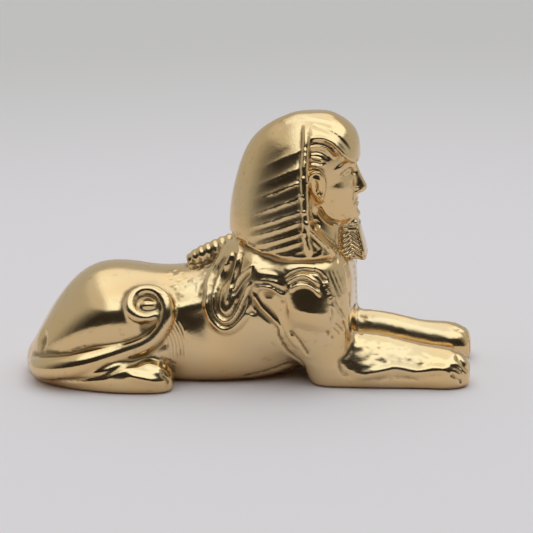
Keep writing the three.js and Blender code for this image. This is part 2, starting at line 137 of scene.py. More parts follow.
bpy.ops.mesh.primitive_plane_add(size=FLOOR_SIZE * MM)
floor = bpy.context.object
floor.name = "floor"
paper = bpy.data.materials.new("floor_paper")
paper.use_nodes = True
nodes, links = paper.node_tree.nodes, paper.node_tree.links
place = nodes.new("ShaderNodeTexCoord")
reach = nodes.new("ShaderNodeVectorMath")
reach.operation = "LENGTH"
wire(reach, {0: place.outputs["Object"]})
fade = fitted(reach.outputs["Value"], FADE_FROM * MM, FADE_TO * MM, soft=True)
pale = blend(fade, FLOOR_NEAR, FLOOR_FAR)
wire(nodes["Principled BSDF"], {"Base Color": pale, "Roughness": 0.9, "Specular IOR Level": 0.1})
floor.data.materials.append(paper)

# %% Room
LAMP = (1.34, 1.52, 1.66, 1.0)  # the soft light, high up on the camera's side
ZENITH = (1.05, 1.16, 1.24, 1.0)  # straight overhead
BESIDE = (0.66, 0.67, 0.67, 1.0)  # as high up, but to the left of the light
CEILING = (1.12, 1.15, 1.16, 1.0)  # high up behind the figure
WALL = (0.50, 0.51, 0.50, 1.0)  # low down behind the figure
DARK = (0.030, 0.028, 0.028, 1.0)  # low down on the camera's side
BACKDROP = (0.546, 0.55, 0.54, 1.0)  # what the camera itself sees
# where each begins and where it is full, as the part of a direction that points up, back or right
LAMP_UP = (math.sin(math.radians(41)), math.sin(math.radians(50)))
ZENITH_UP = (0.93, 0.975)
WALL_BACK = (-0.68, 0.1)
CEILING_BACK = (-0.05, 0.5)
LAMP_RIGHT = (-0.52, -0.36)

room = bpy.data.worlds.new("room")
bpy.context.scene.world = room
room.use_nodes = True
nodes, links = room.node_tree.nodes, room.node_tree.links
place = nodes.new("ShaderNodeTexCoord")
split = nodes.new("ShaderNodeSeparateXYZ")
wire(split, {"Vector": place.outputs["Generated"]})
right, back, up = (split.outputs[axis] for axis in "XYZ")
walls = blend(fitted(back, *WALL_BACK, soft=True), DARK, WALL)
overhead = blend(fitted(back, *CEILING_BACK, soft=True), LAMP, CEILING)
overhead = blend(fitted(up, *ZENITH_UP, soft=True), overhead, ZENITH)
overhead = blend(fitted(right, *LAMP_RIGHT, soft=True), BESIDE, overhead)
seen_in_metal = blend(fitted(up, *LAMP_UP, soft=True), walls, overhead)
ray = nodes.new("ShaderNodeLightPath")
wire(nodes["Background"], {"Color": blend(ray.outputs["Is Camera Ray"], seen_in_metal, BACKDROP)})
print("room is lit from", round(math.degrees(math.asin(LAMP_UP[0]))), "degrees up")

# %% [markdown]
# ## Lumps of clay
# Each mass of the body is a lump: a ring that is extruded from station to station, made wider or
# narrower at each one, with two more rings for each round end, and a subdivision surface to smooth it.
# A ball stretched in object mode would do for an egg, but not for a thigh. A station says where the
# middle of the ring is and its two half sizes, and a tip is only a place.

# %% Lump helpers
def pick(piece):
    """Makes a piece the only one that is selected, and the active one."""
    bpy.ops.object.select_all(action="DESELECT")
    piece.select_set(True)
    bpy.context.view_layer.objects.active = piece


def edit_faces(piece, picked):
    """Goes into edit mode with some faces of a piece selected, and nothing else."""
    pick(piece)
    bpy.ops.object.mode_set(mode="EDIT")
    bpy.ops.mesh.select_mode(type="FACE")
    bpy.ops.mesh.select_all(action="DESELECT")
    bpy.ops.object.mode_set(mode="OBJECT")
    piece.data.polygons.foreach_set("select", picked)
    bpy.ops.object.mode_set(mode="EDIT")


ROUND_END = ((0.06, 0.38), (0.35, 0.8))  # share of the way in, and share of the next ring's size


def domed(stations):
    """Puts rings inside both ends of a row of stations, whose first and last are bare tips."""
    rings = [list(map(float, station)) for station in stations]

    def shoulder(tip, neck, way, size):
        place = [t + (n - t) * way for t, n in zip(tip[:3], neck[:3])]
        return place + [size * s for s in neck[3:]]

    start = [shoulder(rings[0], rings[1], *step) for step in ROUND_END]
    end = [shoulder(rings[-1], rings[-2], *step) for step in reversed(ROUND_END)]
    return start + rings[1:-1] + end


def lump(name, stations, run="X", sides=16, square=2.0, lead=0.0):
    """Extrudes a ring from tip to tip through stations: [x, y, z, half width, half depth]. Along X it
    stands upright, with its half sizes along Y and Z. Along Z it lies flat, with them along Y and X.
    A `square` above 2 fills its corners out, and a `lead` moves its widest place forward."""
    rings = domed(stations)
    upright = run == "X"
    bpy.ops.mesh.primitive_circle_add(
        vertices=sides,
        radius=MM,
        fill_type="NGON",
        location=[p * MM for p in rings[0][:3]],
        rotation=(0, math.pi / 2, 0) if upright else (0, 0, 0),
    )
    piece = bpy.context.object
    piece.name = name
    for vertex in piece.data.vertices:
        turn = math.atan2(vertex.co.y, vertex.co.x)
        corner = abs(math.cos(turn)) ** square + abs(math.sin(turn)) ** square
        vertex.co *= corner ** (-1 / square)
        vertex.co.x += lead * MM * math.sin(turn) ** 2
    bpy.ops.object.transform_apply(location=True, rotation=True, scale=True)
    bpy.ops.object.mode_set(mode="EDIT")
    bpy.ops.mesh.select_all(action="SELECT")
    width = depth = 1.0
    place = rings[0][:3]
    for number, (x, y, z, half_width, half_depth) in enumerate(rings):
        if number:
            step = [(new - old) * MM for new, old in zip((x, y, z), place)]
            bpy.ops.mesh.extrude_region_move(TRANSFORM_OT_translate={"value": step})
        wider, deeper = half_width / width, half_depth / depth
        bpy.ops.transform.resize(
            value=(1, wider, deeper) if upright else (deeper, wider, 1),
            center_override=[p * MM for p in (x, y, z)],
        )
        place, width, depth = (x, y, z), half_width, half_depth
    bpy.ops.mesh.select_all(action="SELECT")
    bpy.ops.mesh.normals_make_consistent(inside=False)
    bpy.ops.object.mode_set(mode="OBJECT")
    smooth = piece.modifiers.new("smooth", "SUBSURF")
    smooth.levels = smooth.render_levels = 2
    bpy.ops.object.modifier_apply(modifier=smooth.name)
    print(name, "lump of", len(rings), "rings and", len(piece.data.polygons), "faces")
    return piece


def on_side(side, stations):
    """Stations written for the left side, on either side."""
    return [[x, side * y, *rest] for x, y, *rest in stations]


def pair(name, stations, **shape):
    """The same lump on the right and on the left, from stations written for the left."""
    return [lump(name, on_side(side, stations), **shape) for side in BOTH]


def cord(name, places, thickness):
    """A round strand through places, drawn as a curve with a bevel and made a mesh."""
    curve = bpy.data.curves.new(name, "CURVE")
    curve.dimensions = "3D"
    curve.bevel_depth = MM
    curve.bevel_resolution = 6
    curve.resolution_u = 6
    curve.use_fill_caps = True
    spline = curve.splines.new("NURBS")
    spline.points.add(len(places) - 1)
    spline.use_endpoint_u = True
    spline.order_u = 4
    for point, (x, y, z), radius in zip(spline.points, places, thickness):
        point.co = (x * MM, y * MM, z * MM, 1.0)
        point.radius = radius
    strand = bpy.data.objects.new(name, curve)
    bpy.context.scene.collection.objects.link(strand)
    pick(strand)
    bpy.ops.object.convert(target="MESH")
    print(name, "cord through", len(places), "places")
    return bpy.context.object


# %% [markdown]
# ## Pressing the lumps together
# On the casting one form runs into the next over a fillet, wide between the belly and the haunch and
# tight where the cloth meets the neck. A Boolean join would leave knife-sharp creases, and a voxel
# remesh with a smooth after it would round everything alike, so the join is made another way. Each
# lump becomes a field of distances on a fine grid, negative inside it, and the fields are joined by a
# minimum that rounds off within a fillet's reach, chosen for each join.

# %% Fusing helpers
GRID = 0.24
BAND = 9  # cells on each side of a surface that its field reaches
REACH = GRID * BAND
MARGIN = 1.6
COARSE = 2  # the first skin takes every second cell
LOWEST, HIGHEST = np.array([-LENGTH / 2, -12.5, -1.0]), np.array([LENGTH / 2, 12.5, HEIGHT])
low_cell = np.floor((LOWEST - MARGIN) / GRID / COARSE).astype(int) * COARSE
high_cell = np.ceil((HIGHEST + MARGIN) / GRID / COARSE).astype(int) * COARSE
spacing = openvdb.createLinearTransform(GRID)


def read(items, name, width=3, kind=np.float32):
    """What every vertex, edge or face of a mesh holds under a name, as rows of an array."""
    values = np.empty(len(items) * width, kind)
    items.foreach_get(name, values)
    return values.reshape(-1, width)


def merge(field, other, fillet):
    """Joins two fields over a fillet."""
    overlap = np.maximum(fillet - np.abs(field - other), 0) / fillet
    return np.minimum(field, other) - overlap**2 * fillet / 4


def press(field, piece, fillet, cut=False):
    """Joins a piece to the field over a fillet, or cuts it out, and clears the piece away."""
    piece.data.calc_loop_triangles()
    corners = read(piece.data.loop_triangles, "vertices", kind=np.int32).astype(np.uint32)
    shell = openvdb.FloatGrid.createLevelSetFromPolygons(
        read(piece.data.vertices, "co") / MM, triangles=corners, transform=spacing, halfWidth=float(BAND)
    )
    first, last = (np.array(cell) for cell in shell.evalActiveVoxelBoundingBox())
    first, last = np.maximum(first, low_cell), np.minimum(last + 1, high_cell)
    block = np.empty(last - first, np.float32)
    shell.copyToArray(block, ijk=tuple(int(c) for c in first))
    here = tuple(slice(f, l) for f, l in zip(first - low_cell, last - low_cell))
    way = -1 if cut else 1
    field[here] = way * merge(way * field[here], block, fillet)
    bpy.data.objects.remove(piece)


def calm(field, passes):
    """Softens a field by averaging each cell with its neighbours."""
    for _ in range(passes):
        for axis in range(3):
            neighbours = np.roll(field, 1, axis) + np.roll(field, -1, axis)
            field = 0.5 * field + 0.25 * neighbours
    return field


# %% [markdown]
# ## The lion's trunk
# The trunk runs from the low rump over the back to the breast, and it is deepest over the haunches
# and at the shoulders. The bellies bulge low on both sides and lie on the table.

# %% Trunk
RUMP_TOP = 15.2
BACK_DIP = 14.2
trunk = lump("trunk", [
    [-30.1, 0, 1.5],
    [-29, 0, 1.7, 3.4, 2.5],
    [-27, 0, 3.2, 5, 4.8],
    [-24, 0, 5.2, 6.6, 7.1],
    [-20.5, 0, 6.9, 7.7, RUMP_TOP - 7],
    [-16, 0, 7.1, 8, RUMP_TOP - 7],
    [-11.4, 0, 6.7, 7.5, BACK_DIP - 6.7],
    [-6, 0, 6.9, 7.4, 7.9],
    [0, 0, 8, 7.6, 8.6],
    [6, 0, 9, 7.5, 8.9],
    [11, 0, 9.6, 6.7, 8.3],
    [13.6, 0, 9.9, 4.3, 6.3],
    [14.8, 0, 10],
], square=2.35)
nape = lump("nape", [
    [-4.2, 0, 13.6],
    [-1.6, 0, 14.8, 4.8, 3.9],
    [1.2, 0, 15.4, 7.6, 3.9],
    [6, 0, 15, 8.9, 4],
    [10.5, 0, 14.8, 8.3, 3.8],
    [13.6, 0, 14],
], square=2.7)
breast = lump("breast", [
    [10, 0, 20],
    [11.2, 0, 17.5, 5.3, 2.5],
    [11.5, 0, 14.5, 6.7, 2.7],
    [11.7, 0, 11, 6.5, 2.8],
    [11.7, 0, 7, 4.5, 2.9],
    [11.2, 0, 3, 3.9, 2.6],
    [11, 0, -1],
], run="Z")
bellies = pair("belly", [
    [-13, 3, 5],
    [-9, 3, 4.6, 4.9, 5.3],
    [-2, 3, 4.6, 5.2, 5.3],
    [4, 3, 5.6, 4.7, 5.3],
    [9, 3, 6.5],
])
flanks = pair("flank", [
    [-5, 5, 9.4],
    [-1, 5.6, 9.4, 2.9, 4.4],
    [3, 5.8, 9.3, 3, 4.8],
    [7, 6, 9.2, 3, 4.8],
    [10, 6, 9],
])
shoulders = pair("shoulder", [
    [-0.6, 3.6, 14.2],
    [2.4, 4.6, 13.9, 3.7, 3],
    [5.4, 5, 13.7, 4.1, 3.3],
    [9, 5.1, 13.6, 4.3, 3.7],
    [12, 4.6, 13.4, 3.6, 3.5],
    [14.2, 3.8, 13],
], square=2.3)
pectorals = pair("pectoral", [
    [11.6, 4, 17.6],
    [12, 4.3, 15.4, 2, 1.9],
    [12.2, 4.6, 12, 2.3, 2],
    [12.3, 4.6, 8.8, 2.2, 1.8],
    [12.2, 4.6, 6.8],
], run="Z")

# %% [markdown]
# ## Haunches and hind feet
# A lying lion folds its hind leg so that the thigh stands up beside the back, and the foot points
# forward on the table under it. Both are lumps that run from the rump forward.

# %% Haunches
haunches = pair("haunch", [
    [-28, 3.2, 2.6],
    [-25.8, 3.9, 3.8, 3.2, 3.2],
    [-22, 4.9, 6.4, 4, 4.5],
    [-17.5, 5.7, 8.4, 4.3, 4.4],
    [-13, 5.9, 8.5, 3.8, 4],
    [-9.8, 5.8, 8, 2.7, 3.8],
    [-6.6, 5.5, 7.4, 2, 3.2],
    [-3.6, 5.2, 7],
], square=2.35)
feet = pair("hind_foot", [
    [-29.2, 3, 1.6],
    [-26, 5.2, 1.9, 3.3, 2.7],
    [-21.5, 7.8, 2, 3, 2.7],
    [-16, 9.3, 1.9, 2.6, 2.7],
    [-11.5, 9.4, 1.8, 2.4, 2.7],
    [-8.2, 9.4, 1.4],
])
hocks = pair("hock", [
    [-15.5, 7.2, 4.8],
    [-12.6, 7.6, 4.9, 1.9, 1.7],
    [-10, 7.5, 4.9, 1.8, 1.7],
    [-7.9, 6.6, 4.6],
])

# %% [markdown]
# ## Forelegs
# The upper arm comes down from the shoulder to the elbow, and the forearm lies on the table. They are
# separate lumps, so that the crease between them stays. The forearm's crest is on the inside, and it
# slopes down to a low outer edge.

# %% Forelegs
LEG_SPREAD = 5.8
LEG_INNER = 5.25  # the forearm's crest is nearer to the middle than its paw
LEG_HALF = 2.4
PAW_HALF = 2.95
arms = pair("upper_arm", [
    [8.8, 6, 17.3],
    [9, 6.2, 15.4, 2.9, 4.3],
    [9.3, 6.5, 12.8, 3.3, 5],
    [9.6, 6.6, 10.2, 3.5, 4.9],
    [10, 6.5, 7.6, 3.2, 4.7],
    [10.6, 6.2, 5, 2.8, 4.4],
    [11.4, 6, 3, 2.7, 3.4],
    [12, 6, -1],
], run="Z")
forearms = pair("forearm", [
    [8.8, LEG_INNER, 2.4],
    [11, LEG_INNER, 2.6, LEG_HALF, 3.7],
    [15, LEG_INNER, 3.2, LEG_HALF, 4],
    [19.5, LEG_INNER, 2.8, LEG_HALF, 3.8],
    [23.6, LEG_INNER, 2.2, LEG_HALF - 0.1, 3.1],
    [26.4, LEG_SPREAD, 2, PAW_HALF, 3.2],
    [28.2, LEG_SPREAD, 1.9, PAW_HALF, 2.9],
    [29.5, LEG_SPREAD, 1.8, PAW_HALF - 0.5, 2.2],
    [30, LEG_SPREAD, 1.7],
])
outer_edges = pair("outer_edge", [
    [11.5, 6, 2],
    [14.5, 6.3, 2, 2.4, 2.7],
    [19.5, 6.35, 1.9, 2.4, 2.6],
    [23.6, 6.3, 1.5, 2.25, 2.2],
    [26.4, 6.3, 1.5, 2.3, 2.2],
    [28.4, 6.2, 1.4],
])

# %% Body pressed together
clay = np.full(high_cell - low_cell, REACH, np.float32)
for pieces, fillet in (
    ([trunk], 0.5),
    ([nape, breast, *bellies, *flanks, *shoulders, *pectorals, *haunches], 1.8),
    (hocks, 1.2),
    (feet, 0.6),
    (arms, 1.5),
    (forearms, 0.9),
    (outer_edges, 1.5),
):
    for piece in pieces:
        press(clay, piece, fillet)
clay = calm(clay, 3)
print("body pressed together,", clay.shape, "cells")


def reach_at(x, z, side):
    """How far out the clay reaches on one side at a place seen from there."""
    i, k = (int(round(v / GRID)) - low_cell[n] for v, n in ((x, 0), (z, 2)))
    row = clay[i, :, k]
    filled = np.nonzero(row < 0)[0]
    if not len(filled):
        return 0.0
    edge = filled[-1] if side > 0 else filled[0]
    share = row[edge] / (row[edge] - row[edge + side])
    return abs((edge + side * share + low_cell[1]) * GRID)


# %% [markdown]
# ## The tail
# The tail comes out of the rump's end, lies along the right haunch, rises in front of the knee and
# curls up over it. It is a cord drawn on the skin of the clay, with the curl as a spiral. The flesh
# behind the curl is drawn out to carry it.

# %% Tail
TAIL_AT = [  # along X and Z, and how thick it is there
    (-27.2, 2.3, 1.4), (-25.4, 2.7, 1.52), (-23, 3.1, 1.58), (-20.4, 3.8, 1.58), (-17.8, 4.5, 1.52),
    (-15.2, 5.15, 1.4), (-12.9, 5.95, 1.24), (-10.95, 7, 1.13), (-9.7, 8.35, 1.05), (-9.05, 9.85, 1),
    (-9.1, 11.05, 0.97), (-9.7, 12.2, 0.9), (-10.75, 13, 0.78), (-12.15, 13.15, 0.74), (-13.5, 12.7, 0.76),
    (-14.15, 11.7, 0.86), (-13.75, 10.55, 0.82), (-12.7, 9.85, 0.76), (-11.4, 9.7, 0.68),
    (-10.3, 10.25, 0.55),
]
TAIL_PROUD = 0.15  # how far its middle stands off the skin
CURL_FROM_Z, CURL_FROM_X = 8.0, -14.5
CURL_OUT = ((9.5, 13.3), (8.9, 6.9))  # how far out the curl leans, by height
route, thickness = [(-28.6, -3.6, 2.3)], [0.7]
for x, z, thick in TAIL_AT:
    out = reach_at(x, z, RIGHT) + TAIL_PROUD
    if z > CURL_FROM_Z and x > CURL_FROM_X:
        out = max(out, np.interp(z, *CURL_OUT))
    route.append((x, RIGHT * out, z))
    thickness.append(thick)
tail = cord("tail", route, thickness)
backing = lump("backing", on_side(RIGHT, [
    [-16.5, 5, 9],
    [-13.4, 5.5, 9.4, 2.8, 3.1],
    [-10.4, 5.5, 9.2, 2.7, 3.1],
    [-7.6, 5, 8],
]))
bud = lump("bud", on_side(RIGHT, [
    [-13, 8.05, 11.1],
    [-12.1, 8.15, 11.3, 0.95, 0.72],
    [-11.3, 8.15, 11.35, 0.95, 0.72],
    [-10.3, 8, 11.15],
]))
press(clay, backing, 2.1)
press(clay, tail, 0.3)
press(clay, bud, 0.2)

# %% Queue
QUEUE_FROM, QUEUE_TO = (0.4, 18.4), (-7.4, 15.0)  # along X and Z
QUEUE_HALF = 1.35
queue = cord(
    "queue",
    [(x, 0, z) for x, z in np.linspace(QUEUE_FROM, QUEUE_TO, 7)],
    [1, 1.2, QUEUE_HALF, QUEUE_HALF, QUEUE_HALF, 1.3, 0.9],
)
press(clay, queue, 0.3)

# %% [markdown]
# ## The head and its headcloth
# The headcloth is a bell that hangs over the head down to the shoulders, cut open for the face. It is
# modelled whole, from the hem up over the crown, and the opening is taken out with a cutter, as a
# carver would. The cutter slants forward below the ear, and leaves the two lappets on the breast. The
# head inside is an egg on a neck.

# %% Headcloth
RIB_X = 9.3  # where the cloth's side edge stands
HEM = 17.3
bell_rings = [  # height, back, front and half width
    (16, -0.9, 14, 9),
    (19, -1.8, 14.4, 8.7),
    (22, -1.6, 15.3, 8.2),
    (25, -1.1, 15.5, 7.5),
    (28, -0.2, 15.65, 6.6),
    (30.6, 0.8, 15.75, 5.3),
    (32.5, 2.2, 15.5, 4.1),
    (34, 4.3, 14.2, 2.9),
    (34.9, 6.6, 12.6, 1.8),
]
SHRINK = 1.02  # a subdivided ring is that much smaller than it was drawn
stations = [[7, 0, 14.5]]
stations += [[(b + f) / 2, 0, z, w * SHRINK, (f - b) / 2 * SHRINK] for z, b, f, w in bell_rings]
stations += [[9.7, 0, HEIGHT - 0.1]]
bell = lump("headcloth", stations, run="Z", sides=24, lead=0.28)


def prism(name, outline):
    """A cutter: a flat outline of [x, z] places, extruded across the whole figure."""
    half = 13.0
    bpy.ops.mesh.primitive_circle_add(vertices=len(outline), radius=MM, fill_type="NGON")
    tool = bpy.context.object
    tool.name = name
    for vertex, (x, z) in zip(tool.data.vertices, outline):
        vertex.co = (x * MM, -half * MM, z * MM)
    bpy.ops.object.mode_set(mode="EDIT")
    bpy.ops.mesh.select_all(action="SELECT")
    bpy.ops.mesh.extrude_region_move(TRANSFORM_OT_translate={"value": (0, 2 * half * MM, 0)})
    bpy.ops.mesh.select_all(action="SELECT")
    bpy.ops.mesh.normals_make_consistent(inside=False)
    bpy.ops.object.mode_set(mode="OBJECT")
    return tool


# %% Face opening
opening = prism("face_opening", [
    (RIB_X, 31.2), (RIB_X + 0.3, 31.8), (10.4, 32.1), (11.5, 32), (12.5, 31.5), (13.3, 30.7),
    (14.1, 29.7), (15, 28.9), (24, 28.5), (24, 12), (12.9, 12), (12.9, 17.9), (12.2, 18.7),
    (10.9, 20.2), (9.9, 21.3), (RIB_X, 23.2),
])
below_hem = prism("below_hem", [
    (-12, 10), (24, 10), (24, HEM), (5.5, HEM), (2, 18.3), (-0.6, 19.4), (-12, 19.6),
])
cloth = np.full(clay.shape, REACH, np.float32)
press(cloth, bell, 0.2)
cloth = calm(cloth, 2)
press(cloth, opening, 0.25, cut=True)
press(cloth, below_hem, 0.25, cut=True)

# %% Head and neck
BROW = 28.4
CHIN = 20.6
THIRD = (BROW - CHIN) / 2
NOSE_BASE = BROW - THIRD
MOUTH = NOSE_BASE - THIRD / 3
EYE_LINE = BROW - THIRD / 4
FACE_X = 15.3
head = np.full(clay.shape, REACH, np.float32)
press(head, lump("neck", [
    [8.4, 0, 26],
    [8.8, 0, 23, 4.4, 3.9],
    [9.6, 0, 20.4, 5, 4],
    [10, 0, 18.4, 5.7, 4.2],
    [10, 0, 14],
], run="Z"), 0.5)
press(head, lump("head", [
    [9.9, 0, 33.6],
    [9.8, 0, BROW + 3.2, 4.45, 5],
    [9.8, 0, BROW + 1.6, 5.1, 5.45],
    [9.8, 0, EYE_LINE, 5.1, FACE_X - 9.9],
    [9.9, 0, NOSE_BASE, 4.8, FACE_X - 9.8],
    [10.4, 0, MOUTH - 0.3, 4.2, FACE_X - 10.3],
    [11.1, 0, CHIN + 0.8, 3.1, FACE_X - 11],
    [11.7, 0, CHIN - 0.3],
], run="Z"), 1.0)
press(head, lump("chin", [
    [13.9, 0, CHIN + 2.2],
    [14.1, 0, CHIN + 1.4, 1.2, 1.1],
    [14, 0, CHIN + 0.7, 1.25, 1.15],
    [13.7, 0, CHIN - 0.1],
], run="Z"), 0.9)
head = calm(head, 2)
NOSE_TIP = FACE_X + 1.6
press(head, lump("nose", [
    [FACE_X - 0.8, 0, BROW + 0.4],
    [FACE_X - 0.5, 0, EYE_LINE + 0.3, 0.55, 0.75],
    [FACE_X - 0.1, 0, EYE_LINE - 1.2, 0.62, 0.95],
    [NOSE_TIP - 1.15, 0, NOSE_BASE + 0.75, 0.8, 1.05],
    [NOSE_TIP - 1.2, 0, NOSE_BASE + 0.2, 0.75, 0.85],
    [NOSE_TIP - 1.6, 0, NOSE_BASE - 0.25],
], run="Z"), 0.6)
for nostril in pair("nostril", [
    [FACE_X - 1, 0.75, NOSE_BASE + 0.35],
    [FACE_X - 0.2, 0.95, NOSE_BASE + 0.4, 0.45, 0.42],
    [FACE_X + 0.4, 0.8, NOSE_BASE + 0.35, 0.35, 0.38],
    [FACE_X + 0.8, 0.5, NOSE_BASE + 0.35],
]):
    press(head, nostril, 0.3)
for ear in pair("ear", [
    [10.9, 4.6, NOSE_BASE - 0.5],
    [10.8, 5, NOSE_BASE + 0.3, 0.75, 0.6],
    [10.5, 5.2, NOSE_BASE + 1.6, 1, 1.1],
    [10.3, 5.3, BROW - 0.7, 1, 1.2],
    [10.2, 5.1, BROW + 0.3],
], run="Z"):
    press(head, ear, 0.25)

# %% Beard
BEARD_TOP, BEARD_FOOT = CHIN + 0.1, 15.5
BEARD_X, BEARD_LEAN = 14.15, 0.9  # where its top stands, and how far its foot is in front of that
TOP_HALVES = (1.3, 1.35, 0.3)
FOOT_GROWTH = (1.15, 1.65, 1)
FOOT_TURN = -10
EDGE = 0.45  # how far its edges are rounded
bpy.ops.mesh.primitive_cube_add(size=2 * MM, location=(BEARD_X * MM, 0, BEARD_TOP * MM), scale=TOP_HALVES)
beard = bpy.context.object
beard.name = "beard"
bpy.ops.object.transform_apply(location=True, rotation=True, scale=True)
edit_faces(beard, [face.normal.z < -0.9 for face in beard.data.polygons])
drop = BEARD_TOP - BEARD_FOOT - 2 * TOP_HALVES[2]
foot_middle = ((BEARD_X + BEARD_LEAN) * MM, 0, BEARD_FOOT * MM)
bpy.ops.transform.translate(value=(BEARD_LEAN * MM, 0, -drop * MM))
bpy.ops.transform.resize(value=FOOT_GROWTH, center_override=foot_middle)
bpy.ops.transform.rotate(value=math.radians(FOOT_TURN), orient_axis="Y", center_override=foot_middle)
bpy.ops.object.mode_set(mode="OBJECT")
soften = beard.modifiers.new("soften", "BEVEL")
soften.width = EDGE * MM
soften.segments = 4
bpy.ops.object.modifier_apply(modifier=soften.name)
print("beard from", BEARD_TOP, "down to", round(min(v.co.z for v in beard.data.vertices) / MM, 1))

# %% Head set on the body
clay = merge(clay, cloth, 0.25)
clay = merge(clay, head, 0.3)
press(clay, beard, 0.25)
clay = calm(clay, 1)
heights = (np.arange(clay.shape[2]) + low_cell[2]) * GRID
clay = np.maximum(clay, -heights[None, None, :].astype(np.float32))
print("head set on the body")

# %% [markdown]
# ## The skin of the clay
# The surface where the field is zero becomes one closed mesh of quads. It starts coarse. Where carving
# comes, the quads are subdivided, and their new corners are drawn on to the field again, so that the
# detail goes where it shows.

# %% First skin
every = slice(None, None, COARSE)
grid = openvdb.FloatGrid(REACH)
grid.transform = openvdb.createLinearTransform(GRID * COARSE)
coarse_clay = np.ascontiguousarray(clay[every, every, every])
grid.copyFromArray(coarse_clay, ijk=tuple(int(c) for c in low_cell // COARSE))
points, quads = grid.convertToQuads(0.0)
mesh = bpy.data.meshes.new("sphinx_brass")
mesh.from_pydata((points * MM).tolist(), [], quads.tolist())
sphinx = bpy.data.objects.new("sphinx_brass", mesh)
bpy.context.scene.collection.objects.link(sphinx)
print("first skin", len(quads), "quads")


# %% Skin helpers
def read_skin():
    """The skin's points in millimetres and its normals."""
    co, normal = read(mesh.vertices, "co"), read(mesh.vertex_normals, "vector")
    return co.astype(float) / MM, normal.astype(float)


def write_skin(points):
    """Moves the skin's points."""
    mesh.vertices.foreach_set("co", (points * MM).astype(np.float32).ravel())
    mesh.update()


def sample(field, points):
    """The field between its cells, at each point."""
    place = points / GRID - low_cell
    cell = np.clip(np.floor(place).astype(int), 0, np.array(field.shape) - 2)
    f = place - cell
    total = 0
    for corner in np.ndindex(2, 2, 2):
        weight = np.prod(np.where(corner, f, 1 - f), axis=1)
        total = total + weight * field[tuple((cell + corner).T)]
    return total


FLATTEST = 0.4  # a field is never taken to rise more slowly than this


def draw_on(rounds=2):
    """Draws the skin on to the zero of the field, along its normals."""
    for _ in range(rounds):
        points, normals = read_skin()
        ahead, behind = (sample(clay, points + way * 0.5 * GRID * normals) for way in (1, -1))
        slope = np.maximum((ahead - behind) / GRID, FLATTEST)
        write_skin(points - normals * np.clip(sample(clay, points) / slope, -GRID, GRID)[:, None])


def averaging():
    """A function that gives every point of the skin the mean place of those around it."""
    a, b = read(mesh.edges, "vertices", 2, np.int32).T
    size = len(mesh.vertices)
    count = np.bincount(a, minlength=size) + np.bincount(b, minlength=size)

    def mean(points):
        sums = [np.bincount(a, row[b], size) + np.bincount(b, row[a], size) for row in points.T]
        return np.stack(sums, axis=1) / count[:, None]

    return mean


def smooth_skin(rounds, shrink=0.5, grow=-0.52):
    """Evens the skin out, and gives it back the volume that this takes."""
    mean = averaging()
    points, _ = read_skin()
    for _ in range(rounds):
        for share in (shrink, grow):
            points += share * (mean(points) - points)
    write_skin(points)


def refine(chosen):
    """Subdivides the faces whose middles are chosen by a function of their places."""
    picked = chosen(*(read(mesh.polygons, "center").T / MM))
    edit_faces(sphinx, picked)
    bpy.ops.mesh.subdivide(number_cuts=1, smoothness=0)
    bpy.ops.object.mode_set(mode="OBJECT")
    print("subdivided", int(picked.sum()), "faces, now", len(mesh.polygons))


# %% Finer skin
def in_boxes(x, y, z, boxes):
    """Which places lie in a box, given as (low x, high x, low |y|, high |y|, low z, high z)."""
    found = np.zeros(x.shape, bool)
    for x0, x1, y0, y1, z0, z1 in boxes:
        found |= (x > x0) & (x < x1) & (abs(y) > y0) & (abs(y) < y1) & (z > z0) & (z < z1)
    return found


CARVED = [
    (1.5, 20, 0, 12, 17, 40),  # headcloth, face and beard
    (-8.5, 1.5, 0, 4, 14, 20),  # queue
    (-5, 13, 4, 12, 6, 17.5),  # lock and shoulder
    (11, 17, 0, 12, 5, 17.5),  # chest
    (5, 15, 7, 12, 0.8, 6),  # elbow
    (14, 31, 4.5, 12, 0.6, 7.5),  # forelegs
    (-10.5, -3, 1.5, 8, 12, 16),  # pitted back
    (-15, -7, 7.5, 13, 0.6, 15),  # curl, and toes of the hind foot
]
FINEST = [
    (9.4, 18, 0, 7, 20.4, 32.5),  # face
    (12.5, 17.5, 0, 2.4, 15, 20.4),  # beard
    (-9.6, -6.2, 4, 12, 3.6, 9.4),  # cast layers before the haunch
]
TAIL_SIDE = [(-25, -15, 8, 13, 1, 7)]  # on the right only

draw_on()
smooth_skin(2)
refine(lambda x, y, z: in_boxes(x, y, z, CARVED) | (y < 0) & in_boxes(x, y, z, TAIL_SIDE))
draw_on()
smooth_skin(3)
refine(lambda x, y, z: in_boxes(x, y, z, FINEST))
draw_on()
smooth_skin(4)

# %% [markdown]
# ## Carving
# The carver's lines are ridges and grooves a few tenths of a millimetre high. Made as separate cords,
# they would lie on the skin like wire. Here, a stroke is a line through places seen from one side, and
# the skin under it rises or sinks along its own normals, so that a ridge grows out of the form that
# carries it.

# %% Carving helpers
AXES = {"side": (0, 2, 1), "top": (0, 1, 2), "front": (1, 2, 0)}  # across, up, and towards the eye
FACING = 0.12  # how far the skin must be turned towards the eye to take a stroke
PAST_MIDDLE = 0.3  # how far over the middle line a stroke of one side reaches
RUN_OUT = 1.5  # a stroke's end rises over this many half widths
STEP = 0.1
points, normals = read_skin()
rise = np.zeros(len(points))


def fine(places):
    """A smooth line through places, in short steps."""
    knots = np.asarray(places, float)
    knots = np.vstack([2 * knots[0] - knots[1], knots, 2 * knots[-1] - knots[-2]])
    line = []
    for a, b, c, d in zip(knots, knots[1:], knots[2:], knots[3:]):
        count = max(2, int(np.linalg.norm(c - b) / STEP))
        t = np.linspace(0, 1, count, endpoint=False)[:, None]
        bend = (c - a) * t + (2 * a - 5 * b + 4 * c - d) * t**2 + (3 * b - a - 3 * c + d) * t**3
        line.append(b + 0.5 * bend)
    return np.vstack([*line, knots[-2:-1]])


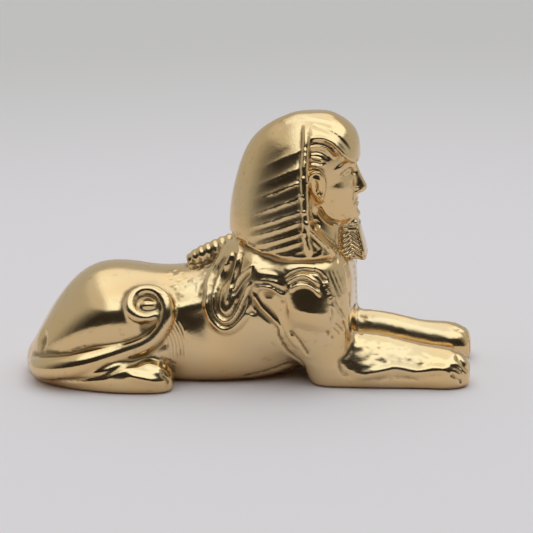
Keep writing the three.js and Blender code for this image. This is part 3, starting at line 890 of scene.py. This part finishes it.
def seen(view, side):
    """The points as they look from one view, mirrored for the left side, and which ones face it."""
    across, up, depth = AXES[view]
    mirrored = points * (1, side, 1)
    facing = normals[:, depth] * (side if view == "side" else 1) > FACING
    return mirrored[:, [across, up]], facing & (mirrored[:, 1] > -PAST_MIDDLE)


def stroke(places, width, height, view="side", sides=BOTH, power=2.0, at=(0, 0)):
    """Raises a ridge of a half width along a line, or sinks a groove. Its ends run out softly. Its
    places count from the one given by `at`."""
    line = fine(np.add(places, at))
    walked = np.arange(len(line)) * STEP
    ends = np.clip(np.minimum(walked, walked[::-1]) / (RUN_OUT * width), 0, 1)
    for side in sides:
        flat, facing = seen(view, side)
        low, high = line.min(0) - width, line.max(0) + width
        near = np.nonzero(facing & (flat > low).all(1) & (flat < high).all(1))[0]
        if not len(near):
            continue
        away = np.linalg.norm(flat[near, None, :] - line[None, :, :], axis=2)
        nearest = away.argmin(1)
        away = away[np.arange(len(near)), nearest] / width
        touched = away < 1
        rise[near[touched]] += height * ends[nearest[touched]] * (1 - away[touched] ** 2) ** power


def swell(centre, radii, height, view="side", turn=0.0, sides=BOTH, power=2.0, at=(0, 0)):
    """Raises or sinks an oval, turned by some degrees in its view."""
    c, s = math.cos(math.radians(turn)), math.sin(math.radians(turn))
    for side in sides:
        flat, facing = seen(view, side)
        off = flat - np.add(centre, at)
        along = (off[:, 0] * c + off[:, 1] * s) / radii[0]
        over = (off[:, 1] * c - off[:, 0] * s) / radii[1]
        away = along**2 + over**2
        touched = facing & (away < 1)
        rise[touched] += height * (1 - away[touched]) ** power


def settle(what):
    """Moves the skin by what has been carved, and takes its new shape as the ground for more."""
    global points, normals
    print(what, "carved, from", round(rise.min(), 2), "to", round(rise.max(), 2), "mm")
    write_skin(points + normals * rise[:, None])
    points, normals = read_skin()
    rise[:] = 0


# %% [markdown]
# ## The folds of the headcloth
# The pleats run down and back from a flat rib at the cloth's side edge. A pleat's ridge is sharp, and
# the cloth between two ridges is hollow, so the pleats are a wave over the whole cloth: how far a place
# is between two ridges gives its depth.

# %% Pleats
RIDGES_AT_RIB = [17.6, 18.7, 19.9, 21.0, 22.4, 23.7, 25.4, 27.3, 29.0, 31.1, 33.9, 37.0]
FALL_AT = ((19, 23, 27, 31), (0.38, 0.42, 0.46, 0.5))  # how steeply the pleats fall, by height
SHARE_AT = ((17.6, 20, 28, 31, 32.4), (0.5, 1.0, 1.0, 0.7, 0.1))  # how much of their depth they have
BACK_EDGE = ((20, 30), (1.2, 3.4))  # where they fade out behind, by height
PLEAT_DEPTH, PLEAT_BEND, BACK_FADE, RIB_FADE, RIB_GAP = 0.22, 1.2, 3.0, 0.5, 0.2
BACK_LEAST = 0.08  # the share of their depth that is left behind that edge
HEM_X, HEM_Z, HEM_CLIMB = 4.5, 17.6, 0.25  # they end above the hem, which climbs behind this place
CROWN_HALF = 2.2  # nor do they run over the middle of the crown
x, out, over = points[:, 0], np.abs(points[:, 1]), points[:, 2]
fall = np.interp(over, *FALL_AT)
back = np.maximum(RIB_X - x, 0)
at_rib = over + fall * back**2 / (back + PLEAT_BEND)
phase = np.interp(at_rib, RIDGES_AT_RIB, np.arange(len(RIDGES_AT_RIB)))
between = np.abs(np.sin(math.pi * phase))
share = np.interp(at_rib, *SHARE_AT)
share *= np.clip((x - np.interp(over, *BACK_EDGE)) / BACK_FADE, BACK_LEAST, 1)
share *= np.clip((RIB_X - RIB_GAP - x) / RIB_FADE, 0, 1)
on_cloth = (over > HEM_Z + HEM_CLIMB * np.maximum(HEM_X - x, 0)) & (out > CROWN_HALF) & (x < RIB_X)
rise += np.where(on_cloth, -PLEAT_DEPTH * share * (between**0.5 - 0.5), 0)

# %% Rib and hem
stroke([(9.1, 34), (9.15, 31.5), (9, 28), (9.1, 24), (9.2, 21), (9.7, 17.9)], 0.48, 0.42, power=0.7)
stroke([(8.5, 31), (8.45, 28), (8.55, 24), (8.7, 21)], 0.2, -0.12)
for x, z in ((8.6, 27.6), (8.6, 25.5), (8.85, 23.5), (8.85, 21.0)):
    swell((x, z), (0.4, 0.32), 0.3)
stroke([(-0.4, 19.5), (1.1, 18.9), (3, 18.2), (5, 18), (7.5, 17.85), (10.2, 17.8), (12.6, 17.9)], 0.4, 0.16)

# %% Crown folds
stroke([(5.4, 33.9), (7.9, 34.75), (10.2, 34.7), (12.6, 34.2), (13.9, 33.4), (14.9, 32.2)], 0.42, 0.08)
stroke([(5.2, 33.2), (7.9, 34.3), (10.2, 34.25), (12.5, 33.75), (13.9, 32.7)], 0.42, -0.045)

# %% Frontlet and temple
stroke([
    (9.6, 33.95), (10.9, 33.6), (11.9, 33.2), (12.9, 32.7), (13.6, 32.1), (14.3, 31.3), (14.8, 30.4),
], 0.32, -0.1)
stroke([(9.6, 32.3), (10.6, 32.45), (11.6, 32.3), (12.6, 31.8), (13.5, 30.9), (14.4, 29.9)], 0.4, 0.08)
for places in (
    [(9.5, 31.2), (10.6, 31.3), (11.8, 30.9), (12.5, 30.1), (12.8, 29.9), (13.2, 30.3)],
    [(9.7, 30), (10.3, 29.95), (10.9, 29.8), (11.4, 29.5)],
    [(9.6, 29.1), (10.3, 29), (11.1, 28.9), (11.6, 29.2)],
):
    stroke(places, 0.24, 0.2)
stroke([(9.5, 30.6), (10.6, 30.7), (11.6, 30.3), (12.2, 29.6)], 0.35, -0.12)
stroke([(9.6, 29.55), (10.4, 29.45), (11.2, 29.2)], 0.28, -0.1)

# %% Lappet
stroke([(9.3, 22.6), (9.6, 21.6), (10.2, 20.7), (11, 19.8), (11.8, 19), (12.7, 18.2)], 0.32, 0.24)
stroke([(9.6, 20.9), (10.5, 20.1), (11.2, 19.4), (12, 18.5)], 0.28, -0.24)
swell((10.3, 21.3), (0.75, 0.4), -0.25, turn=-40)
stroke([(9.9, 20.3), (9.9, 19.8), (10.4, 18.8)], 0.3, -0.2)
stroke([(11.3, 18.6), (10.7, 17.8)], 0.35, 0.22)
stroke([(12.5, 17.7), (12.2, 17.1), (11.7, 17.4)], 0.3, 0.2)
settle("headcloth")

# %% [markdown]
# ## The beard
# The beard is a plaited block: three bands under the chin, a smooth roll, and a braid below, with a
# lighter strip down its front.

# %% Braid
BRAID_TOP, BRAID_FOOT, BRAID_PITCH, BRAID_DEPTH, BRAID_SINK = 19.5, 15.7, 0.55, 0.08, 0.12
BANDS_FROM, BANDS_TO, BAND_PITCH, BAND_DEPTH = 19.85, 20.55, 0.26, 0.09
BEARD_SPAN = (15.3, 20.8)  # the heights at which the beard's back, axis and front edge are given
BEARD_LINES = ((13.4, 12.7), (15.0, 14.0), (16.1, 15.1))
BEARD_HALF, BEARD_FROM, BRAID_SLANT = 2.5, 15.2, 0.75
SIDEWAYS = 0.3  # how far the skin must be turned to the side to be braided
x, z = points[:, 0], points[:, 2]
back_x, axis_x, edge_x = (np.interp(z, BEARD_SPAN, line) for line in BEARD_LINES)
on_beard = (np.abs(points[:, 1]) < BEARD_HALF) & (z > BEARD_FROM) & (z < CHIN) & (x > back_x)
weave = np.sin(2 * math.pi * (z + BRAID_SLANT * np.abs(x - axis_x)) / BRAID_PITCH)
in_braid = on_beard & (z < BRAID_TOP) & (z > BRAID_FOOT) & (x < edge_x)
in_braid &= np.abs(normals[:, 1]) > SIDEWAYS
rise += np.where(in_braid, BRAID_DEPTH * weave - BRAID_SINK, 0)
in_bands = on_beard & (z > BANDS_FROM) & (z < BANDS_TO)
rise += np.where(in_bands, BAND_DEPTH * np.cos(2 * math.pi * (z - BANDS_FROM) / BAND_PITCH), 0)
stroke([(12.9, 19.7), (13.6, 19.75), (14.4, 19.7)], 0.22, 0.16)
stroke([(15.3, 20.2), (15.5, 19.2), (15.85, 17.9), (16.2, 16.4)], 0.3, 0.1)
stroke([(12.9, 20.4), (12.75, 19.3), (12.95, 17.8), (13.4, 16)], 0.25, 0.1)
settle("beard")

# %% [markdown]
# ## The face
# The face is a calm one in the proportions of a drawing book: hairline, brow, base of the nose and
# chin a third of the face apart, the eyes five to a face's width, and the mouth a third of the way
# from the nose to the chin.

# %% Eyes and brow
def face_strokes(at, rows):
    """Strokes seen from the front, each with its half width and height, counted from a landmark."""
    for places, width, height in rows:
        stroke(places, width, height, view="front", at=at)


EYE = (2.05, EYE_LINE)
swell((0.05, -0.05), (1.75, 0.95), -0.55, view="front", at=EYE)
swell((-1.15, -0.1), (0.5, 0.7), -0.25, view="front", at=EYE)
settle("sockets")
swell((0, -0.1), (0.95, 0.5), 0.34, view="front", power=1, at=EYE)
face_strokes((0, BROW), [([(0.35, -0.05), (1.1, 0.3), (2.2, 0.5), (3.3, 0.25), (4.1, -0.5)], 0.42, 0.24)])
settle("eyes and brow")
face_strokes(EYE, [  # the two lids, and the fold above them
    ([(-1.2, -0.22), (-0.6, 0.22), (0.1, 0.38), (0.8, 0.2), (1.6, -0.15)], 0.2, 0.16),
    ([(-0.9, -0.4), (0, -0.58), (0.8, -0.42), (1.3, -0.2)], 0.18, 0.1),
    ([(-0.9, 0.3), (0, 0.62), (0.9, 0.42), (1.6, 0)], 0.16, -0.1),
])
settle("lids")

# %% Cheeks, mouth and chin
NOSTRILS, LIPS = (0, NOSE_BASE), (0, MOUTH)
swell((3.3, 1), (1.5, 1.2), 0.22, view="front", at=NOSTRILS)
swell((2.9, 0.1), (1.3, 1.3), -0.16, view="front", at=LIPS)
face_strokes(LIPS, [  # beside the mouth, above it, the two lips, and below them
    ([(1.15, 2), (1.45, 1.3), (1.75, 0.3)], 0.26, -0.13),
    ([(0, 1), (0, 0.65)], 0.24, -0.12),
    ([(0, 0.34), (0.45, 0.38), (0.9, 0.24), (1.35, 0)], 0.32, 0.24),
    ([(0, -0.4), (0.55, -0.38), (1.1, -0.14)], 0.34, 0.25),
    ([(0, -0.95), (0.7, -0.9)], 0.4, -0.2),
])
swell((0, 0.95), (1, 0.7), 0.16, view="front", at=(0, CHIN))
settle("mouth")
face_strokes(LIPS, [([(0, -0.02), (0.6, 0.02), (1.1, -0.03), (1.5, -0.06)], 0.17, -0.26)])
face_strokes(NOSTRILS, [([(0.95, 0.75), (1.1, 0.35), (0.95, 0)], 0.16, -0.14)])
settle("lips")

# %% Jaw
stroke([(10.5, 23.4), (11, 22.3), (12, 21.3), (13.1, 20.75)], 0.5, -0.4)
stroke([(10.9, 23.7), (11.5, 22.6), (12.5, 21.7), (13.6, 21.2)], 0.5, 0.14)
settle("jaw")

# %% Ears
EAR = (10.5, (BROW + NOSE_BASE) / 2)
RIM = [(0.45, -1.5), (0.9, -0.6), (0.95, 0.6), (0.5, 1.6), (-0.2, 1.8), (-0.8, 1.3), (-1.0, 0.3)]
swell((0.1, -0.1), (0.75, 1.35), -0.5, turn=8, at=EAR)
stroke(RIM, 0.26, 0.2, at=EAR)
settle("ear rims")
stroke([(-0.3, 1), (0.2, 0.9), (0.4, 0.1), (0.2, -0.6)], 0.2, 0.16, at=EAR)
swell((0.35, -0.9), (0.3, 0.35), -0.25, at=EAR)
settle("ears")

# %% [markdown]
# ## Queue and mane lock
# The queue is wound with a cord, so it is ringed all along. The lock under it is a lyre-shaped strand:
# a long loop whose ridges run together at the nape.

# %% Queue rings
QUEUE_PITCH, QUEUE_RING = 1.05, 0.06
RINGED = (1.2, 8.9)  # from where to where along the queue
RINGS_OUT, RINGS_DOWN = 0.35, 1.0  # how far beyond the queue and below its axis they are cut
run = np.array([QUEUE_TO[0] - QUEUE_FROM[0], 0, QUEUE_TO[1] - QUEUE_FROM[1]])
run /= np.linalg.norm(run)
off = points - (QUEUE_FROM[0], 0, QUEUE_FROM[1])
along = off @ run
from_axis = np.linalg.norm(off - along[:, None] * run, axis=1)
above_axis = points[:, 2] - (QUEUE_FROM[1] + run[2] * along)
on_queue = (from_axis < QUEUE_HALF + RINGS_OUT) & (above_axis > -RINGS_DOWN)
on_queue &= (along > RINGED[0]) & (along < RINGED[1])
rise += np.where(on_queue, QUEUE_RING * np.cos(2 * math.pi * along / QUEUE_PITCH), 0)
settle("queue")

# %% Mane lock
stroke([
    (-0.4, 17.8), (-0.6, 16.8), (-1.4, 14.6), (-2.3, 13.2), (-2.7, 11.2), (-2.4, 10.3), (-1.8, 9.8),
    (-1.1, 9.9), (-0.5, 10.5), (-0.1, 11.4), (0.2, 12.2),
], 0.42, -0.34)
stroke([
    (-3.5, 14.6), (-4, 13.4), (-3.9, 12.1), (-3.9, 10.3), (-3.1, 8.8), (-1.9, 8), (-0.6, 8.3),
    (0.8, 9.7), (1.6, 11.2), (2.1, 12.9),
], 0.7, 0.34)
stroke([
    (-1.3, 16.2), (-2, 15), (-2.7, 13.8), (-3.05, 12.4), (-3.05, 11.2), (-2.85, 10.1), (-2.2, 9.35),
    (-1.6, 9.15), (-0.8, 9.4), (-0.1, 10.4), (0.4, 11.4), (1.2, 12.9), (1.9, 14.4),
], 0.32, 0.34)
stroke([
    (-3.6, 12.6), (-3.5, 10.6), (-2.9, 9.4), (-1.9, 8.6), (-0.7, 8.9), (0.4, 10.3), (1.2, 11.8),
], 0.35, -0.22)
stroke([(0.2, 18.9), (0.2, 17.6), (0, 16.4), (-0.5, 14.6), (-0.8, 13.5), (-1.4, 11.3)], 0.36, 0.34)
stroke([(0.65, 18.6), (0.55, 17.2), (0.2, 15.5), (-0.5, 13.3)], 0.28, -0.26)
stroke([(2.3, 17), (2, 16.3), (1.1, 15.5), (0.4, 14.7), (-0.1, 13.8), (-0.6, 12.9)], 0.32, 0.3)
stroke([(1.9, 15.7), (0.9, 14.7), (0.1, 13.6), (-0.5, 12.5)], 0.28, -0.24)
stroke([(-0.6, 17.8), (-1.3, 16.5), (-2, 15.4)], 0.5, 0.24)
stroke([(-1.6, 17), (-2.4, 15.8), (-3.2, 14.4)], 0.35, -0.16)
stroke([(1.2, 10.5), (2.7, 10.4)], 0.3, -0.26)
swell((-0.2, 19.4), (0.5, 0.45), 0.2)

# %% [markdown]
# ## Shoulder, breast and legs
# The carver drew the muscles with soft furrows: arcs over the oval of the shoulder, a fold down to the
# elbow, and short cuts for hair and toes. A stroke is wide where the flesh is full and narrow where two
# forms meet, and an oval rounds a muscle out or sinks it in.

# %% Shoulder
swell((4.4, 14.3), (2.3, 1.2), 0.22)
swell((4.4, 17), (2.9, 1.7), -0.34)
stroke([(2.8, 15.9), (4, 16.1), (5.2, 15.9), (6.3, 15.3)], 0.4, -0.08)
stroke([(2.8, 15.1), (4.4, 15.2), (5.7, 15), (6.4, 14.6)], 0.4, -0.08)
stroke([
    (6.4, 14.8), (7, 15.5), (7.9, 16), (8.8, 16.2), (9.7, 16.1), (10.7, 15.9), (11.5, 15.1), (11.9, 14.3),
], 0.34, -0.34)
stroke([(6.8, 14.7), (7.7, 15.25), (8.5, 15.55), (9.3, 15.5), (10.1, 14.95), (10.9, 14.4)], 0.34, 0.3)
stroke([(7, 14.25), (7.7, 14.8), (8.5, 15), (9.3, 14.9), (10.1, 14.4), (10.9, 13.7)], 0.28, -0.3)
stroke([(7.1, 13.7), (7.9, 14.25), (8.9, 14.4), (9.7, 14.25), (10.4, 13.7), (11.1, 12.9)], 0.32, 0.24)
OVAL_X, OVAL_HALF, OVAL_SLANT, OVAL_ROUND = 9.5, 2.9, 0.18, 0.8
OVAL_OUTSIDE = 4  # it lies further from the middle than this
OVAL_TILT = ((8.4, 9.6, 10.9, 14.4), (0, 0.5, 0.78, 0))  # how far out the oval stands, by height
x, z = points[:, 0], points[:, 2]
lean = np.interp(z + OVAL_SLANT * (x - OVAL_X), *OVAL_TILT)
lean *= np.clip(1 - ((x - OVAL_X) / OVAL_HALF) ** 2, 0, 1) ** OVAL_ROUND
rise += lean * (np.abs(normals[:, 1]) > FACING) * (np.abs(points[:, 1]) > OVAL_OUTSIDE)
stroke([(2.3, 13.3), (3.1, 13.9), (4.3, 13.95), (5.2, 13.6), (6, 13.1), (6.7, 13)], 0.38, 0.28)
stroke([(2.6, 14.2), (4.3, 14.35), (5.4, 14), (6.3, 13.4)], 0.34, -0.15)
stroke([(2.25, 13.3), (2.6, 12.4), (3.3, 11.3), (4.2, 10.4), (5.1, 9.5), (5.65, 8.6), (5.8, 6.9)], 0.42, 0.3)
stroke([(1.8, 12.9), (2.1, 12), (2.8, 10.9), (3.8, 9.9), (4.7, 9)], 0.35, -0.2)
swell((4.3, 12.9), (1.1, 0.65), -0.2)
stroke([(5.7, 12.2), (6.5, 12.1)], 0.3, -0.18)
stroke([(5.3, 8.9), (5.6, 6.9), (6.5, 4.9), (8, 3.4), (8.6, 2.2)], 0.36, -0.3)
stroke([(6.8, 8.3), (7.6, 7.5), (8.3, 6.4), (9.3, 4.6)], 0.34, -0.26)
stroke([(6.4, 8.6), (7, 7), (8, 5.6)], 0.4, 0.14)
swell((11.9, 8), (0.6, 0.45), -0.24, turn=-50)
swell((12.4, 7.3), (0.5, 0.3), -0.2, turn=-60)
stroke([(12.8, 9.3), (13.9, 7.9)], 0.24, -0.2)
stroke([(12.5, 8.8), (13.5, 7.5)], 0.24, -0.18)
settle("lock and shoulder")

# %% Breast
for start, end in (
    ((11.3, 14.3), (12.1, 14.7)), ((11.5, 13.8), (12.4, 14.2)), ((11.7, 13.2), (12.6, 13.7)),
    ((11.9, 12.7), (12.8, 13.2)), ((12, 12.2), (13.1, 12.8)),
):
    stroke([start, end], 0.24, 0.3)
for shift in (-0.45, 0.0, 0.45):
    stroke([(12.4, 15.9), (13.2, 13.9), (13.9, 12), (14.3, 10.2)], 0.2, -0.09, at=(shift, 0))
stroke([(12.3, 12), (13.1, 10.4), (13.9, 9)], 0.35, 0.18)
stroke([(12.8, 12.3), (13.6, 10.7), (14.2, 9.4)], 0.28, -0.14)
stroke([(14.2, 16.6), (14.6, 15.7), (14.85, 13.5), (15.1, 11.2), (15.4, 8.4)], 0.26, 0.2)
stroke([(13.9, 16.2), (14.25, 15), (14.5, 13.2), (14.75, 11), (15, 8.6)], 0.24, -0.16)
for height in np.arange(9.4, 16.6, 0.85):
    stroke([(0, height - 0.25), (0.8, height), (1.7, height + 0.35)], 0.26, -0.08, view="front")

# %% Forelegs and paws
stroke([
    (15, 1.9), (17.6, 2.3), (19.6, 2.85), (20.7, 3), (23.1, 2.5), (25.8, 2.9), (27.6, 2.7),
], 0.75, 0.3, power=1.3)
stroke([(17.5, 1.1), (19.6, 1.7), (21.5, 1.8), (24, 1.2)], 0.5, -0.12)
stroke([(14.6, 6.2), (14.2, 4.8), (13.2, 3.8), (13.7, 2.4), (15, 1.6)], 0.6, -0.16)
stroke([(28, 4.3), (28.9, 3.5), (29.9, 2.2)], 0.34, -0.3)
stroke([(27.5, 2.5), (28.3, 1.7), (29.1, 0.8)], 0.32, -0.26)
for across in (4.5, 6.1):
    stroke([(27.4, across), (28.6, across), (29.8, across)], 0.28, -0.22, view="top")
    stroke([(across, 0.6), (across, 1.8), (across, 3.2)], 0.28, -0.24, view="front")

# %% Hind feet and haunch
stroke([(-14.4, 2.9), (-12.7, 2.4), (-9.4, 1.6)], 0.8, 0.26)
stroke([(-14.6, 4), (-13.2, 4), (-10.4, 3.2)], 0.6, -0.12)
stroke([(-10.4, 4.6), (-9.2, 3.9), (-8.5, 3)], 0.24, -0.2)
stroke([(-10.2, 3.9), (-9.2, 3.1), (-8.6, 2.2)], 0.24, -0.2)
stroke([(-10, 2.9), (-9.2, 2.2), (-8.7, 1.4)], 0.24, -0.18)
for across in (8.2, 9.4, 10.6):
    stroke([(across, 0.7), (across, 1.8), (across, 3.4)], 0.3, -0.22, view="front")
swell((-26.5, 5.6), (1.7, 0.75), -0.42, turn=75)
stroke([
    (-24, 1.5), (-21.3, 1.75), (-18.7, 2.35), (-17.2, 2.75), (-14.9, 3.75), (-12.8, 4.25), (-11.1, 4.7),
], 0.5, -0.2, sides=(RIGHT,))
stroke([(-15.4, 6.5), (-13.5, 7.15), (-11.9, 7.9), (-10.9, 8.9), (-10.6, 9.7)], 0.42, -0.16, sides=(RIGHT,))
swell((-12.1, 8.8), (1.4, 0.8), -0.26, turn=50, sides=(RIGHT,))
swell((-6, 11), (2.8, 1.5), 0.3)
swell((17.2, 2.8), (2.8, 1.2), 0.16)
stroke([(-10, 13.2), (-8.8, 12.4), (-8.1, 11.2), (-8.1, 10)], 0.26, 0.12, sides=(RIGHT,))
settle("breast and legs")

# %% [markdown]
# ## Marks of the casting
# A printed pattern leaves fine layers where the polisher can't reach, here in front of the haunch, and
# the metal has pits and soft dents. A bump in the material could hint at them, but metal shows them
# only if the skin itself has them.

# %% Marks of the casting
LAYER_PITCH, LAYER_DEPTH = 0.42, 0.06
LAYERS_ROUND = (-12.2, 5.2)  # they run round this place, as contour lines do
LAYERS_FLAT = 0.8
LAYERS_X, LAYERS_Z = (-9.6, -6.2), (3.6, 9.4)
FADE_BEHIND, FADE_AHEAD = 0.8, 1.2
x, z = points[:, 0], points[:, 2]
away = np.hypot(x - LAYERS_ROUND[0], (z - LAYERS_ROUND[1]) * LAYERS_FLAT)
window = np.clip((x - LAYERS_X[0]) / FADE_BEHIND, 0, 1) * np.clip((LAYERS_X[1] - x) / FADE_AHEAD, 0, 1)
window *= np.clip(z - LAYERS_Z[0], 0, 1) * np.clip(LAYERS_Z[1] - z, 0, 1)
rise += LAYER_DEPTH * window * (points[:, 1] < 0) * np.sin(2 * math.pi * away / LAYER_PITCH)
dice = np.random.default_rng(7)


def dents(count, places_x, places_up, sizes, flatness, heights, turns, **seen_from):
    """Scatters small ovals over a patch, some raised and some sunk."""
    for _ in range(count):
        place = (dice.uniform(*places_x), dice.uniform(*places_up))
        size = dice.uniform(*sizes)
        radii = (size, size * dice.uniform(*flatness))
        height = dice.choice((-1, 1)) * dice.uniform(*heights)
        swell(place, radii, height, turn=dice.uniform(*turns), **seen_from)


RIGHT_BACK = {"view": "top", "sides": (RIGHT,)}
dents(60, (-9.8, -2.5), (1.8, 6.8), (0.3, 0.55), (0.6, 1), (0.04, 0.1), (0, 180), **RIGHT_BACK)
swell((-11.8, 14.7), (0.6, 0.45), 0.3, sides=(RIGHT,))
dents(150, (3, 30), (1, 16.5), (0.5, 1.1), (0.4, 0.9), (0.02, 0.05), (-30, 30))
dents(150, (15, 28), (2.6, 8.4), (0.3, 0.6), (0.4, 0.8), (0.015, 0.04), (-40, 40), view="top")
settle("layers and dents")
print("the skin has", len(points), "points")

# %% [markdown]
# ## The brass
# The figure is cast brass, polished where hands reach it. Its hollows keep a brown tarnish, which is
# made darker here so that it also paints the shade in them: painted shade. The polish is uneven,
# with fine pits. A single colour would look like plastic. How deep each place lies in a hollow is
# worked out on the mesh itself, and is kept with it.

# %% How deep each place lies
def hollows(rounds):
    """How far each point lies below the mean of those around it, in millimetres."""
    mean = averaging()
    here, outward = read_skin()
    level = here
    for _ in range(rounds):
        level = mean(level)
    return ((level - here) * outward).sum(1)


FINE, BROAD = (3, 0.05, 0.5), (14, 0.16, 0.7)  # rounds, the depth that counts in full, and its weight
depth = sum(np.clip(hollows(rounds) / full, 0, 1) * weight for rounds, full, weight in (FINE, BROAD))
attribute = mesh.attributes.new("hollow", "FLOAT", "POINT")
attribute.data.foreach_set("value", np.clip(depth, 0, 1).astype(np.float32))
mesh.polygons.foreach_set("use_smooth", np.ones(len(mesh.polygons), bool))
print("hollow places", int((depth > 0.3).sum()))

# %% Brass
CLEAN = (0.80, 0.565, 0.285, 1.0)
PALE = (0.78, 0.58, 0.325, 1.0)
# the hollows' colour: real tarnish, made darker so that it also paints their shade (painted shade)
TARNISH_AND_SHADE = (0.25, 0.16, 0.065, 1.0)
SMOOTH, WORN, DULL = 0.13, 0.22, 0.4  # roughness of polished, handled and tarnished brass
PATCHES, SPECKS, GRAIN = 140, 900, 2600  # how many of them lie along a metre
GRAIN_DEPTH, GRAIN_STRENGTH = 0.00003, 0.35
brass = bpy.data.materials.new("polished_brass")
brass.use_nodes = True
nodes, links = brass.node_tree.nodes, brass.node_tree.links
place = nodes.new("ShaderNodeTexCoord")


def noise(scale, detail):
    """A cloudy value over the piece, with features about 1 / scale metres wide."""
    cloud = nodes.new("ShaderNodeTexNoise")
    wire(cloud, {"Vector": place.outputs["Object"], "Scale": scale, "Detail": detail})
    return cloud.outputs["Fac"]


def sum_of(first, second):
    """Two values added up, kept between 0 and 1."""
    add = nodes.new("ShaderNodeMath")
    add.operation = "ADD"
    add.use_clamp = True
    wire(add, {0: first, 1: second})
    return add.outputs["Value"]


in_hollow = nodes.new("ShaderNodeAttribute")
in_hollow.attribute_name = "hollow"
hollow = in_hollow.outputs["Fac"]
polish = fitted(noise(PATCHES, 3), 0.4, 0.65)
# painted shade and real stains: deep hollows darken towards the tarnish colour, partly tarnish and partly
# painted shade; the specks are stains
stain_and_shade = sum_of(fitted(hollow, 0.3, 1.0, 0.0, 0.75), fitted(noise(SPECKS, 4), 0.62, 0.75, 0.0, 0.25))
worn = sum_of(fitted(hollow, 0.1, 0.9), polish)
rough = sum_of(fitted(worn, 0, 1, SMOOTH, WORN), fitted(stain_and_shade, 0, 1, 0.0, DULL - WORN))
colour = blend(stain_and_shade, blend(polish, CLEAN, PALE), TARNISH_AND_SHADE)
grain = nodes.new("ShaderNodeBump")
wire(grain, {"Height": noise(GRAIN, 5), "Strength": GRAIN_STRENGTH, "Distance": GRAIN_DEPTH})
wire(nodes["Principled BSDF"], {"Metallic": 1.0, "Base Color": colour, "Roughness": rough})
wire(nodes["Principled BSDF"], {"Normal": grain.outputs["Normal"]})
mesh.materials.append(brass)

# %% Hand over
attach(sphinx, "root")
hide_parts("sphinx")
